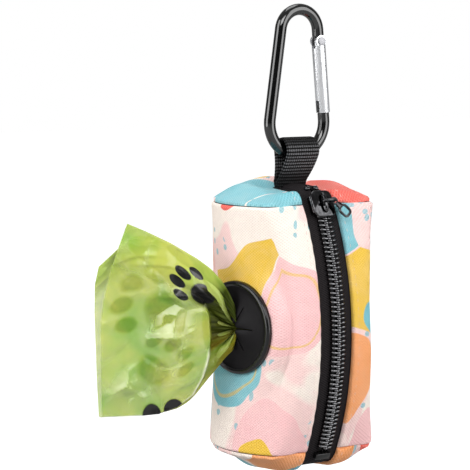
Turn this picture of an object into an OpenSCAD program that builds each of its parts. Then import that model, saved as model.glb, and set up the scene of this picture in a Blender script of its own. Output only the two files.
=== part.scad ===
// Hanging pouch that holds a roll of small bags and feeds them out through a
// slit port. A snap hook carries a webbing loop, the loop carries a padded
// fabric pouch with a curved zip, and the roll turns inside as a bag is pulled.
//
// The origin is the bearing point inside the top bow of the hook, +Z is up,
// and the zip faces -Y. Units are millimetres.

/* [Snap hook] */
// Diameter of the bent bar
bar_d = 4.0; // [3.8:0.1:4.2]
// Centreline radius of the narrow top bow
bow_top_r = 7.5; // [7.2:0.1:8]
// Centreline radius of the wide bottom bow
bow_bottom_r = 11.0; // [10.8:0.1:11.2]
// Distance between the two bow centres
bow_gap = 31.0; // [30.6:0.1:31.4]
// Outside diameter of the gate
gate_d = 4.7; // [4.6:0.1:4.9]
// Diameter of the rivet that the gate turns on
rivet_d = 1.6; // [1.4:0.1:1.8]
// Sideways lean of the hook as it hangs, in degrees
hang_lean = 1.5; // [1:0.25:2]

/* [Webbing loop] */
// Width of the webbing
web_w = 13.0; // [12:0.5:13]
// Thickness of one ply of webbing
web_t = 1.2; // [1:0.1:1.3]
// Inside radius of the fold that rides on the hook
fold_r = 3.5; // [3.5:0.05:3.6]

/* [Pouch] */
// Outside radius of the pouch at its top rim
pouch_r = 27.5; // [27:0.25:28]
// Outside radius of the pouch at its bottom rim
foot_r = 28.0; // [27.5:0.25:28.5]
// Height of the wall from rim to rim
wall_h = 83.5; // [83:0.5:84]
// Rise of the top panel over the rim
top_rise = 9.8; // [9:0.2:10.6]
// Drop of the bottom panel under the rim
foot_rise = 7.6; // [7.2:0.2:8]
// Thickness of the padded outer fabric
fabric_t = 1.0; // [0.8:0.1:1.1]
// Thickness of the lining
lining_t = 0.4; // [0.3:0.05:0.45]

/* [Zip] */
// Half of the tape width that shows between the fabric edges
tape_show = 6.5; // [6.2:0.1:6.8]
// Radius of the long arc that the zip follows down the front
zip_arc_r = 96.2; // [95:0.2:97]
// Distance from the pouch axis to the tape at the fullest point
zip_front = 26.3; // [26:0.1:26.6]
// Pitch of the coil's teeth
tooth_pitch = 1.52; // [1.45:0.01:1.6]
// Width of one side of the coil
coil_w = 2.5; // [2.4:0.1:2.6]
// Height of the coil above the tape
coil_h = 1.9; // [1.7:0.1:2]

/* [Bag port] */
// Outside radius of the port's rim
port_r = 15.8; // [15.4:0.1:16.2]
// Direction the port faces, in degrees from the zip
port_turn = -78.5; // [-81:0.5:-76]
// Length of each of the six slits in the membrane
slit_len = 8.4; // [7.5:0.1:9]
// Width of a slit
slit_w = 0.5; // [0.4:0.05:0.7]

/* [Bag roll] */
// Outside radius of the wound film
roll_r = 15.0; // [13:0.5:15]
// Width of the roll
roll_w = 60.0; // [56:1:60]
// Outside radius of the roll's core
core_r = 6.5; // [6:0.25:7]
// Length of the bag tail outside the port
tail_len = 46.0; // [42:1:48]

/* [Hidden] */
$fn = 48;
eps = 0.05;

// ---- snap hook layout -------------------------------------------------------
bow_lean = asin((bow_bottom_r - bow_top_r) / bow_gap);
top_bow_z = bar_d / 2 - bow_top_r;
bottom_bow_z = top_bow_z - bow_gap;
side_len = bow_gap * cos(bow_lean);
side_d = bar_d - 0.04;               // the straights run a little way into the bows
gate_top = 4.0;                     // pivot below the top bow's tangent point
gate_len = 24.5;                    // pivot to the gate's lower end
tongue_t = 1.7;                     // flattened ends of the bar
nose_len = 3.0;
plunger_d = 2.0;

// ---- webbing layout ---------------------------------------------------------
fold_x = -sin(hang_lean) * 38;      // centre of the bottom bow as it hangs
fold_z = -42.6 - fold_r;            // axis the loop turns on
web_base_z = -55.3;                 // where the plies meet the pouch
web_skew = 0.25;                    // sideways run of the flanks per unit of drop
web_base_x = fold_x - web_skew * (fold_z - web_base_z);
stitches_per_row = 6;

// ---- pouch layout -----------------------------------------------------------
pouch_x = -3;                       // the pouch hangs a little to one side
pouch_turn = 1.5;                   // and turned a little on the webbing
mid_z = -104.7;
rim_top = wall_h / 2 - 0.25;
rim_low = rim_top - wall_h;
waist = 1.2;                        // the wall draws in a little at mid height
flat_half = 9.9;                    // flat strip each side of the zip
round_span = 13;                    // distance in which it rounds into the wall
zip_z = -3;                         // height of the zip's fullest point
arc_y = zip_arc_r - zip_front;      // the zip's arc centre lies behind the axis
arc_hi = asin(46 / zip_arc_r);      // where the long arc ends above and below
arc_lo = asin(40.6 / zip_arc_r);
bend_hi = 9;
bend_lo = 8;
end_hi = 88;
end_lo = 84;
tape_t = 0.6;
tape_w = 9.6;
tape_gap = 0.5;                     // half of the gap between the two tapes
slider_at = asin(43.6 / zip_arc_r); // the slider stands near the top

// ---- port layout ------------------------------------------------------------
port_z = 0.4;
port_plane = 24.6;                  // pouch axis to the face under the fabric
port_flat = port_r + 0.9;
port_fade = 8.5;
hole_r = 13.9;
membrane_r = 14.5;
membrane_t = 0.9;
membrane_rise = 1.9;                // the slit middle is pushed outward

// ---- roll and tail layout ---------------------------------------------------
roll_low = -45.0;
neck_t = 1.2;
neck_h = 3.4;
neck_len = 21.5;
slit_out = port_plane + fabric_t + 2.4;
feed_turn = asin((roll_r + 0.9) / slit_out);
feed_dir = port_turn - 90 - feed_turn;   // tail direction, as a turn from +X

function clamp01(x) = min(1, max(0, x));
function ease(x) = let (t = clamp01(x)) t * t * (3 - 2 * t);
function mix(a, b, t) = a + (b - a) * t;
function off_front(a) = let (m = (a % 360 + 360) % 360) m > 180 ? 360 - m : m;

// ---- zip path, in the plane of the zip: [y, z, tilt of the outward normal] ---
function on_arc(cy, cz, r, tilt) = [cy - r * cos(tilt), cz + r * sin(tilt), tilt];
hi_end = on_arc(arc_y, zip_z, zip_arc_r, arc_hi);
lo_end = on_arc(arc_y, zip_z, zip_arc_r, -arc_lo);
hi_c = [hi_end[0] + bend_hi * cos(arc_hi), hi_end[1] - bend_hi * sin(arc_hi)];
lo_c = [lo_end[0] + bend_lo * cos(arc_lo), lo_end[1] + bend_lo * sin(arc_lo)];
hi_flat = on_arc(hi_c[0], hi_c[1], bend_hi, end_hi);
lo_flat = on_arc(lo_c[0], lo_c[1], bend_lo, -end_lo);
top_tail = 14;
low_tail = 14;
function zip_path() = [
    for (d = [top_tail, 12, 10, 8.5, 7, 4])
        [hi_flat[0] + d * sin(end_hi), hi_flat[1] + d * cos(end_hi), end_hi],
    for (k = [0:5]) on_arc(hi_c[0], hi_c[1], bend_hi, mix(end_hi, arc_hi, k / 5)),
    for (k = [1:27]) on_arc(arc_y, zip_z, zip_arc_r, mix(arc_hi, -arc_lo, k / 27)),
    for (k = [1:5]) on_arc(lo_c[0], lo_c[1], bend_lo, -mix(arc_lo, end_lo, k / 5)),
    [lo_flat[0] + 7 * sin(end_lo), lo_flat[1] - 7 * cos(end_lo), -end_lo],
    [lo_flat[0] + low_tail * sin(end_lo), lo_flat[1] - low_tail * cos(end_lo), -end_lo]
];

// Distance of the tape from the pouch axis at a height on the long arc
function zip_y(z) = zip_arc_r * cos(asin((z - zip_z) / zip_arc_r)) - arc_y;

// Height of the tape over a point of the top, and under a point of the foot
function tape_top(y) =
    y > hi_flat[0] ? hi_flat[1] + (y - hi_flat[0]) / tan(end_hi)
    : y > hi_end[0] ? hi_c[1] + sqrt(max(0, pow(bend_hi, 2) - pow(y - hi_c[0], 2)))
    : zip_z + sqrt(max(0, pow(zip_arc_r, 2) - pow(arc_y - y, 2)));
function tape_low(y) =
    y > lo_flat[0] ? lo_flat[1] - (y - lo_flat[0]) / tan(end_lo)
    : y > lo_end[0] ? lo_c[1] - sqrt(max(0, pow(bend_lo, 2) - pow(y - lo_c[0], 2)))
    : zip_z - sqrt(max(0, pow(zip_arc_r, 2) - pow(arc_y - y, 2)));

// The tape's edges sag beside the webbing, so the zip's upper end is a ridge
function sag(y) = 3.4 * ease((y - hi_end[0]) / 6);

// ---- shape of the pouch: the surface between the fabric and the lining --------
function side_r(z) = mix(foot_r, pouch_r, (z - rim_low) / wall_h) - fabric_t
    - waist * (1 - pow(z / (wall_h / 2), 2));
function front_r(a, z) = let (
    d = off_front(a),
    f = d < 80 ? ease((zip_y(z) * tan(d) - flat_half) / round_span) : 1)
    mix(zip_y(z) / cos(min(d, 80)), side_r(z), f);
function wall_r(a, z) = let (
    d = off_front(a - port_turn),
    s = d < 70 ? norm([port_plane * tan(d), z - port_z]) : 99,
    w = 1 - ease((s - port_flat) / port_fade))
    w > 0 ? mix(front_r(a, z), port_plane / cos(d), w) : front_r(a, z);
function wall_point(a, z) = let (r = wall_r(a, z)) [r * sin(a), -r * cos(a), z];

// Azimuth at which a strip of a given half width ends, at a height
function edge_turn(z, half) = atan(half / zip_y(z));
function dome(x, y, rim, rise, front_share) = let (
    a = atan2(x, -y),
    d = off_front(a),
    share = mix(front_share, 1, ease((d - 35) / 75)),
    q = min(1, norm([x, y]) / wall_r(a, rim)))
    rise * share * (1 - q * q);
function top_z(x, y) = let (
    near = (1 - ease((abs(x) - flat_half) / 9)) * (1 - ease((y - 8) / 9)))
    mix(rim_top + dome(x, y, rim_top, top_rise, 0.45), tape_top(y) - sag(y), near);
function low_z(x, y) = let (
    near = (1 - ease((abs(x) - flat_half) / 9)) * (1 - ease((y - 7) / 9)))
    mix(rim_low - dome(x, y, rim_low, foot_rise, 1), tape_low(y), near);

// Grids of points: around the wall from its foot up, and over the top and the
// foot from the rim inward, so that every grid's normal points out of the pouch
function wall_grid(nu, nz, skip, trim) = [for (j = [0:nz]) let (
    z = mix(rim_low, rim_top, j / nz) + (j == 0 ? trim : j == nz ? -trim : 0),
    e = edge_turn(z, tape_show))
    [for (i = [skip:nu - skip]) wall_point(mix(e, 360 - e, i / nu), z)]];
function cap_point(x, y, up) = [x, y, up ? top_z(x, y) : low_z(x, y)];
function cap_grid(nu, nr, half, rim, back, up, inset) = let (e = edge_turn(rim, half))
    [for (j = [0:nr]) [for (i = [0:nu]) let (
        u = i / nu,
        a = mix(e, 360 - e, u),
        b = 90 + 180 * u,
        r = wall_r(a, rim) - inset,
        p = [half * sin(b), back - half * cos(b)],
        q = [r * sin(a), -r * cos(a)],
        m = mix(p, q, pow(1 - j / nr, 0.85)))
        cap_point(i == 0 ? half : i == nu ? -half : m[0], m[1], up)]];

// Unit normal of a grid at one point, from its neighbours
function grid_normal(g, j, i) = let (
    nj = len(g) - 1, ni = len(g[0]) - 1,
    du = g[j][min(ni, i + 1)] - g[j][max(0, i - 1)],
    dv = g[min(nj, j + 1)][i] - g[max(0, j - 1)][i],
    n = cross(du, dv))
    n / norm(n);
function raised(g, h) = [for (j = [0:len(g) - 1]) for (i = [0:len(g[0]) - 1])
    g[j][i] + h * grid_normal(g, j, i)];

// A sheet of fabric between two heights over a grid
module sheet(g, low, high) {
    w = len(g[0]);
    h = len(g);
    n = w * h;
    rim = concat(
        [for (i = [0:w - 2]) [i, i + 1]],
        [for (j = [0:h - 2]) [j * w + w - 1, (j + 1) * w + w - 1]],
        [for (i = [w - 1:-1:1]) [(h - 1) * w + i, (h - 1) * w + i - 1]],
        [for (j = [h - 1:-1:1]) [j * w, (j - 1) * w]]);
    top = [for (j = [0:h - 2]) for (i = [0:w - 2]) let (k = j * w + i)
        each [[k, k + w + 1, k + 1], [k, k + w, k + w + 1]]];
    polyhedron(
        points = concat(raised(g, high), raised(g, low)),
        faces = concat(
            top,
            [for (t = top) [t[0] + n, t[2] + n, t[1] + n]],
            [for (e = rim) [e[0], e[1], e[1] + n]],
            [for (e = rim) [e[0], e[1] + n, e[0] + n]]),
        convexity = 10);
}

// A bar whose outline of four or more corners follows a list of rings
module swept(rings) {
    n = len(rings);
    m = len(rings[0]);
    polyhedron(
        points = [for (r = rings) each r],
        faces = concat(
            [for (k = [0:n - 2]) for (i = [0:m - 1]) let (i2 = (i + 1) % m)
                each [[k * m + i, k * m + i2, (k + 1) * m + i2],
                      [k * m + i, (k + 1) * m + i2, (k + 1) * m + i]]],
            [[for (i = [m - 1:-1:0]) i]],
            [[for (i = [0:m - 1]) (n - 1) * m + i]]),
        convexity = 10);
}

module at_pouch() {
    translate([pouch_x, 0, mid_z]) rotate([0, 0, pouch_turn]) children();
}

// Puts a part made over the XY plane on the port, with +Z pointing out of it
module at_port() {
    at_pouch()
        rotate([0, 0, port_turn - 90])
            translate([port_plane + fabric_t, 0, port_z])
                rotate([0, 90, 0])
                    children();
}

// Puts a part on the zip's long arc: +X right, +Z up the zip, -Y outward
module at_zip(tilt) {
    at_pouch()
        translate([0, arc_y, zip_z])
            rotate([-tilt, 0, 0])
                translate([0, -zip_arc_r, 0])
                    children();
}

// ---- snap hook --------------------------------------------------------------
// The hook lies in the XZ plane; its gate is on the +X side
module hook_space() {
    rotate([0, hang_lean, 0]) children();
}

module bow(r, from, to) {
    rotate([90, 0, 0])
        rotate([0, 0, from])
            rotate_extrude(angle = to - from)
                translate([r, 0])
                    circle(d = bar_d);
}

// Along the straight on the gate side: +Z up, origin at the top bow's end
module gate_side() {
    translate([0, 0, top_bow_z])
        rotate([0, -bow_lean, 0])
            translate([bow_top_r, 0, 0])
                children();
}

module bar_along(from, to, d) {
    translate([0, 0, from]) cylinder(d = d, h = to - from);
}

module hook_frame() {
    color("#161616")
    hook_space() {
        difference() {
            union() {
                translate([0, 0, top_bow_z]) bow(bow_top_r, bow_lean, 180 - bow_lean);
                translate([0, 0, bottom_bow_z]) bow(bow_bottom_r, 180 - bow_lean, 360 + bow_lean);
                mirror([1, 0, 0]) gate_side() bar_along(-side_len - 0.3, 0.3, side_d);
                gate_side() {
                    bar_along(-gate_top + 2.5, 0.3, side_d);
                    translate([0, tongue_t / 2, -gate_top])
                        rotate([90, 0, 0])
                            cylinder(d = 3.2, h = tongue_t);
                    translate([-1.6, -tongue_t / 2, -gate_top])
                        cube([3.2, tongue_t, 2.8]);
                    bar_along(-side_len - 0.3, -gate_top - gate_len - 0.25, side_d);
                    translate([-1.3, -tongue_t / 2, -gate_top - gate_len - 1])
                        cube([2.6, tongue_t, nose_len + 1]);
                    translate([0, tongue_t / 2, -gate_top - gate_len + nose_len - 0.9])
                        rotate([90, 0, 0])
                            cylinder(d = 3.2, h = tongue_t);
                }
            }
            gate_side()
                translate([0, 3, -gate_top])
                    rotate([90, 0, 0])
                        cylinder(d = rivet_d, h = 6);
        }
    }
}

module hook_gate() {
    slot_t = tongue_t + 0.3;
    color("#d9dadd")
    hook_space() gate_side() difference() {
        union() {
            bar_along(-gate_top - gate_len, -gate_top + 0.4, gate_d);
            translate([0, gate_d / 2 - 0.35, -gate_top])
                rotate([90, 0, 0])
                    cylinder(d = gate_d - 0.6, h = gate_d - 0.7);
        }
        translate([-3, -slot_t / 2, -gate_top - 2.3])
            cube([6, slot_t, 6]);
        translate([-3, -slot_t / 2, -gate_top - gate_len - 1])
            cube([6, slot_t, nose_len + 2.2]);
        bar_along(-gate_top - 14, -gate_top - 1, plunger_d + 0.4);
        translate([0, 4, -gate_top])
            rotate([90, 0, 0])
                cylinder(d = rivet_d + 0.06, h = 8);
        for (s = [0, 1]) mirror([0, s, 0])
            translate([0, gate_d / 2 + 1, -gate_top])
                rotate([90, 0, 0])
                    cylinder(r = 1.55, h = 1.35);
    }
}

module gate_rivet() {
    head_d = 2.8;
    color("#c9cacc")
    hook_space() gate_side() translate([0, 0, -gate_top]) rotate([90, 0, 0]) {
        translate([0, 0, -gate_d / 2 + 0.25]) cylinder(d = rivet_d - 0.02, h = gate_d - 0.5);
        for (s = [0, 1]) mirror([0, 0, s])
            translate([0, 0, gate_d / 2 - 0.33])
                cylinder(d = head_d, h = 0.55);
    }
}

module gate_plunger() {
    color("#9a9ca0")
    hook_space() gate_side() {
        bar_along(-gate_top - 4.6, -gate_top - 1.75, plunger_d);
        bar_along(-gate_top - 6.2, -gate_top - 4.5, plunger_d - 1.1);
    }
}

module gate_spring() {
    wire = 0.22;
    turns = 9;
    low = -gate_top - 13.7;
    high = -gate_top - 4.6 - wire - eps;
    steps = turns * 10;
    color("#8d8f93")
    hook_space() gate_side()
        swept([for (k = [0:steps]) let (
            t = k / steps * turns * 360,
            z = mix(low + wire, high, k / steps))
            [for (i = [4:-1:0]) let (r = 0.88 + wire * cos(i * 72))
                [r * cos(t), r * sin(t), z + wire * sin(i * 72)]]]);
}

// ---- webbing loop -----------------------------------------------------------
// Teardrop profile: a round fold with two flanks running down to a tip
function teardrop(r, tip) = let (
    lean = asin(r / tip))
    concat(
        [for (k = [0:24]) let (a = mix(-lean, 180 + lean, k / 24)) [r * cos(a), r * sin(a)]],
        [[0, -tip]]);

module webbing_loop() {
    tip = fold_z - web_base_z;
    color("#141414")
    translate([fold_x, 0, fold_z])
        rotate([90, 0, 90]) {
            translate([0, 0, -web_w / 2])
                linear_extrude(web_w) difference() {
                    circle(r = fold_r + web_t, $fn = 96);
                    circle(r = fold_r, $fn = 96);
                    translate([-10, -20]) square([20, 20]);
                }
            // the flanks run down a little to the port's side
            multmatrix([[1, 0, 0, 0], [0, 1, 0, 0], [0, web_skew, 1, 0], [0, 0, 0, 1]])
                translate([0, 0, -web_w / 2])
                    linear_extrude(web_w) {
                        difference() {
                            union() {
                                circle(r = fold_r + web_t, $fn = 96);
                                polygon(teardrop(fold_r + web_t, tip + 4.2));
                            }
                            circle(r = fold_r, $fn = 96);
                            polygon(teardrop(fold_r, tip + 0.6));
                            translate([-10, -tip - 10]) square([20, 10]);
                            translate([-10, 0]) square([20, 20]);
                        }
                        translate([-4.2, -tip - web_t]) square([8.6, web_t + 0.1]);
                    }
        }
}

module webbing_stitches() {
    stitch = 1.5;
    pitch = (web_w - 2.6) / stitches_per_row;
    color("#2b2b2b")
    translate([web_base_x - web_w / 2 + 1.3 + (pitch - stitch) / 2, 0, web_base_z + 0.34])
        for (y = [-3.3, 3.3])
            for (i = [0:stitches_per_row - 1])
                translate([i * pitch, y, 0])
                    rotate([0, 90, 0])
                        cylinder(d = 0.45, h = stitch, $fn = 24);
}

// ---- fabric -----------------------------------------------------------------
module port_cutter(r) {
    at_port() translate([0, 0, -6]) cylinder(r = r, h = 14, $fn = 96);
}

module wall_panel() {
    color("#f4c9c2")
    difference() {
        at_pouch() sheet(wall_grid(48, 16, 0, 0.2), eps, fabric_t);
        port_cutter(hole_r + 0.2);
    }
}

module wall_lining() {
    color("#3a3a3d")
    difference() {
        at_pouch()
            sheet(wall_grid(48, 16, 1, 0.8), -lining_t - 0.12, -0.12);
        port_cutter(hole_r + 0.2);
        at_port() translate([0, 0, -8 - fabric_t - lining_t - 0.25])
            cylinder(r = port_r + 0.3, h = 8, $fn = 96);
    }
}

module top_panel() {
    color("#e9b43c")
    at_pouch() sheet(cap_grid(48, 8, tape_show, rim_top, -1, true, 0), eps, fabric_t);
}

module bottom_panel() {
    color("#f0a255")
    at_pouch()
        mirror([0, 0, 1]) sheet([for (row = cap_grid(48, 8, tape_show, rim_low, -3, false, 0))
            [for (p = row) [p[0], p[1], -p[2]]]], eps, fabric_t);
}

module top_lining() {
    color("#333336")
    at_pouch()
        sheet(cap_grid(36, 6, flat_half, rim_top, 7.5, true, 0.8), -lining_t - 0.4, -0.4);
}

module bottom_lining() {
    color("#333336")
    at_pouch()
        mirror([0, 0, 1]) sheet([for (row = cap_grid(36, 6, flat_half, rim_low, 4.2, false, 0.8))
            [for (p = row) [p[0], p[1], -p[2]]]], -lining_t - 0.12, -0.12);
}

// A folded tape that covers the seam allowance inside a rim
module seam_binding(rim, up) {
    e = edge_turn(rim, flat_half + 1.5);
    rings = [for (k = [0:36]) let (
        a = mix(e, 360 - e, k / 36),
        z1 = rim - up * 4.6,
        z2 = rim - up * 1.7,
        r = min(wall_r(a, z1), wall_r(a, z2)))
        [for (c = [[r - 2.4, z1], [r - 0.9, z1], [r - 0.9, z2], [r - 2.4, z2]])
            [c[0] * sin(a), -c[0] * cos(a), c[1]]]];
    swept(up > 0 ? rings : [for (r = rings) [for (i = [3:-1:0]) r[i]]]);
}

module top_seam_binding() {
    color("#1d1d1f") at_pouch() seam_binding(rim_top, 1);
}

module bottom_seam_binding() {
    color("#1d1d1f") at_pouch() seam_binding(rim_low, -1);
}

// ---- zip --------------------------------------------------------------------
module zip_tape(side) {
    widths = [tape_gap, 3.3, tape_show, tape_w];
    shares = [0, 0.18, 1, 1];
    drops = [0, 0, 0.15, 0.8];
    across = side > 0 ? [0:3] : [3:-1:0];
    path = zip_path();
    function share(i, y) = mix(shares[i], 1, ease((y + 1) / 4));
    at_pouch()
        sheet([for (k = [len(path) - 1:-1:0]) let (p = path[k], s = p[1] > 0 ? sag(p[0]) : 0)
            [for (i = across) [side * widths[i],
                               p[0] + drops[i] * cos(p[2]),
                               p[1] - drops[i] * sin(p[2]) - s * share(i, p[0])]]],
            -tape_t, 0);
}

module zip_tape_left() {
    color("#1a1a1b") zip_tape(-1);
}

module zip_tape_right() {
    color("#1a1a1b") zip_tape(1);
}

// One side of the coil: an arc with a rounded tooth at every pitch
module zip_coil(side) {
    turn = tooth_pitch / zip_arc_r * 180 / PI;
    first = slider_at - 0.6;
    count = floor((first + arc_lo - 1.2) / turn);
    shift = side > 0 ? 0 : turn / 2;
    function ridge(t) = [for (s = [[0.05, 0.62], [0.16, 0.93], [0.32, 1], [0.54, 1], [0.7, 0.93], [0.81, 0.62]])
        let (a = t - s[0] * turn, r = zip_arc_r + coil_h * s[1]) [-r * cos(a), r * sin(a)]];
    outer = [for (k = [0:count - 1]) each ridge(first - shift - k * turn)];
    last = first - shift - count * turn;
    inner = [for (k = [0:30]) let (a = mix(last, first - shift, k / 30), r = zip_arc_r + 0.03)
        [-r * cos(a), r * sin(a)]];
    at_pouch()
        translate([side > 0 ? tape_gap : -tape_gap - coil_w, arc_y, zip_z])
            rotate([90, 0, 90])
                linear_extrude(coil_w)
                    polygon(concat(outer, inner));
}

module zip_coil_left() {
    color("#55565a") zip_coil(-1);
}

module zip_coil_right() {
    color("#55565a") zip_coil(1);
}

// Small metal clips that end the slider's travel
module zip_top_stops() {
    p = on_arc(hi_c[0], hi_c[1], bend_hi, mix(arc_hi, end_hi, 0.5));
    color("#3c3c3e")
    at_pouch()
        translate([0, p[0], p[1]])
            rotate([-p[2], 0, 0])
                for (s = [-1, 1])
                    translate([s > 0 ? 0.7 : -2.9, -1.6, -0.9])
                        cube([2.2, 1.5, 2.0]);
}

module zip_bottom_stop() {
    color("#3c3c3e")
    at_zip(-arc_lo + 0.1)
        translate([-2.9, -2.1, -1])
            cube([5.8, 2.0, 2.2]);
}

// ---- slider: origin on the tape's face, +Z up the zip, -Y outward ------------
slider_len = 9.4;
slider_w = 8.6;
plate_t = 0.9;
deck = coil_h + 0.45;               // underside of the top plate
bridge_d = 1.1;
bridge_h = deck + plate_t + 1.65;   // centre of the bridge that the link rides on
link_wire = 0.9;
link_r = 1.1;                       // centreline radius of the link's ends
link_len = 2.4;
link_end = link_len + link_r;
pull_rest = 30;                     // the pull droops below level
pull_t = 0.8;

module plate(w, l, t, r) {
    rotate([90, 0, 0])
        linear_extrude(t) {
            square([w, l - 2 * r], center = true);
            square([w - 2 * r, l], center = true);
            for (x = [-1, 1]) for (y = [-1, 1])
                translate([x * (w / 2 - r), y * (l / 2 - r)]) circle(r = r);
        }
}

module slider_body() {
    color("#202022")
    at_zip(slider_at) {
        translate([0, -deck, 0]) plate(slider_w, slider_len, plate_t, 2.2);
        for (s = [-1, 1])
            translate([s > 0 ? slider_w / 2 - 0.8 : -slider_w / 2, -deck - 0.1, -slider_len / 2 + 2])
                cube([0.8, deck - 0.2, slider_len - 4]);
        translate([-0.38, -deck - 0.1, 1.6])
            cube([0.76, deck + tape_t + 0.7, 2.6]);
        translate([0, tape_t + 0.45 + plate_t, 0]) plate(slider_w, slider_len - 1, plate_t, 2.2);
        translate([0, -bridge_h, -2.6]) cylinder(d = bridge_d, h = 5.2);
        for (z = [-2.6, 2.6])
            translate([0, -deck - plate_t + 0.1, z])
                rotate([90, 0, 0]) {
                    cylinder(d = bridge_d, h = bridge_h - deck - plate_t - 0.1);
                    translate([0, 0, bridge_h - deck - plate_t - 0.1]) sphere(d = bridge_d, $fn = 24);
                }
    }
}

// A long link through the bridge: its near end turns round the bridge
module pull_link() {
    color("#2a2a2c")
    at_zip(slider_at)
        translate([0, -bridge_h, 0]) {
            for (e = [[0, 90], [link_len, -90]])
                translate([e[0], 0, 0])
                    rotate([0, 0, e[1]])
                        rotate_extrude(angle = 180)
                            translate([link_r, 0]) circle(d = link_wire, $fn = 24);
            for (s = [-1, 1])
                translate([-0.1, s * link_r, 0])
                    rotate([0, 90, 0])
                        cylinder(d = link_wire - 0.02, h = link_len + 0.2, $fn = 24);
        }
}

// Flat pull: an eye on the link, a short neck and an open stirrup
module slider_pull() {
    neck = 3.0;
    stirrup_w = 4.6;
    stirrup_l = 5.0;
    color("#262628")
    at_zip(slider_at)
        translate([link_end, -bridge_h + pull_t / 2, 0])
            rotate([0, pull_rest, 0])
                rotate([90, 0, 0])
                    linear_extrude(pull_t)
                        difference() {
                            union() {
                                circle(r = 1.4);
                                translate([0, -1.3]) square([neck + 1, 2.6]);
                                translate([neck + stirrup_l / 2, 0])
                                    square([stirrup_l, stirrup_w - 1.6], center = true);
                                translate([neck + stirrup_l / 2, 0])
                                    square([stirrup_l - 1.6, stirrup_w], center = true);
                                for (x = [-1, 1]) for (y = [-1, 1])
                                    translate([neck + stirrup_l / 2 + x * (stirrup_l / 2 - 0.8),
                                               y * (stirrup_w / 2 - 0.8)])
                                        circle(r = 0.8);
                            }
                            circle(r = 0.8);
                            translate([neck + 0.9, -stirrup_w / 2 + 0.9])
                                square([stirrup_l - 1.8, stirrup_w - 1.8]);
                        }
}

// ---- port: made over the XY plane, z = 0 on the fabric's outer face ----------
module port_bezel() {
    color("#121212")
    at_port()
        rotate_extrude($fn = 96)
            polygon([
                [port_r, 0.03], [port_r, 0.9],
                for (k = [1:5]) [port_r - 1 + cos(k * 18), 0.9 + sin(k * 18)],
                [port_r - 1.5, 1.85], [port_r - 1.9, 1.55], [port_r - 2.0, 1.25],
                [membrane_r + 0.15, 1.2], [membrane_r + 0.15, 0.03]
            ]);
}

module port_membrane() {
    color("#1b1b1c")
    at_port() difference() {
        rotate_extrude($fn = 96)
            polygon([
                [0, membrane_rise + 0.2], [3, membrane_rise * 0.86 + 0.2], [8, membrane_rise * 0.36 + 0.2],
                [11.5, 0.2], [membrane_r, 0.2], [membrane_r, 0.2 + membrane_t], [11.5, 0.2 + membrane_t],
                [8, membrane_rise * 0.36 + 0.2 + membrane_t],
                [3, membrane_rise * 0.86 + 0.2 + membrane_t], [0, membrane_rise + 0.2 + membrane_t]
            ]);
        translate([0, 0, -1]) cylinder(r = neck_h / 2 + 0.25, h = 8);
        for (k = [0:5])
            rotate([0, 0, k * 60])
                translate([0, -slit_w / 2, -1]) cube([slit_len, slit_w, 8]);
    }
}

// Inner ring that clamps the fabric and holds the membrane from behind
module port_back_ring() {
    back = fabric_t + lining_t + 0.3;
    color("#161616")
    at_port()
        rotate_extrude($fn = 96)
            polygon([
                [hole_r - 1.2, 0.15], [hole_r, 0.15], [hole_r, -back],
                [port_r, -back], [port_r, -back - 1.2], [hole_r - 1.2, -back - 1.2]
            ]);
}

// ---- bag roll ---------------------------------------------------------------
module tube(r_out, r_in, h) {
    difference() {
        cylinder(r = r_out, h = h, $fn = 96);
        translate([0, 0, -1]) cylinder(r = r_in, h = h + 2, $fn = 96);
    }
}

module roll_core() {
    color("#c9b48f")
    at_pouch() translate([0, 0, roll_low]) tube(core_r, core_r - 1.2, roll_w);
}

module roll_film() {
    color("#9fc23c")
    at_pouch() translate([0, 0, roll_low + 0.5]) tube(roll_r, core_r + 0.03, roll_w - 1);
}

// The bag's end: a gathered neck through the slits that fans out into pleats
module bag_tail() {
    corners = [[0, 30, -30], [0.22, tail_len, -30.3], [0.78, tail_len, 20], [1, tail_len - 11, 36.6]];
    function end_u(q) = lookup(q, [for (c = corners) [c[0], c[1]]]);
    function end_v(q) = lookup(q, [for (c = corners) [c[0], c[2]]]);
    ns = 11;
    nq = 20;
    function film(s, q) = let (
        u = mix(2.6, end_u(q), pow(s, 1.5)),
        v = mix(mix(-1.6, 1.6, q), end_v(q), pow(s, 0.68)),
        wave = sin(q * 360 * 3.5 + 40) * 1.5 * ease(s * 1.6) + sin(q * 360 * 1.1) * 1.2 * s)
        [u, wave, v];
    color("#b4d94a", 0.8)
    at_pouch()
        rotate([0, 0, port_turn - 90])
            translate([slit_out, 0, port_z])
                rotate([0, 0, -feed_turn]) {
                    sheet([for (i = [0:ns]) [for (k = [0:nq]) film(i / ns, k / nq)]], -0.3, 0.3);
                    translate([-neck_len, -neck_t / 2, -neck_h / 2 + 0.1])
                        cube([neck_len + 2.9, neck_t, neck_h - 0.2]);
                }
}

hook_frame();
hook_gate();
gate_rivet();
gate_plunger();
gate_spring();
webbing_loop();
webbing_stitches();
wall_panel();
top_panel();
bottom_panel();
wall_lining();
top_lining();
bottom_lining();
top_seam_binding();
bottom_seam_binding();
zip_tape_left();
zip_tape_right();
zip_coil_left();
zip_coil_right();
zip_top_stops();
zip_bottom_stop();
slider_body();
pull_link();
slider_pull();
port_bezel();
port_membrane();
port_back_ring();
roll_core();
roll_film();
bag_tail();
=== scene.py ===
import math

import bmesh
import bpy
import numpy as np
from mathutils import Matrix, Vector


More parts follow.
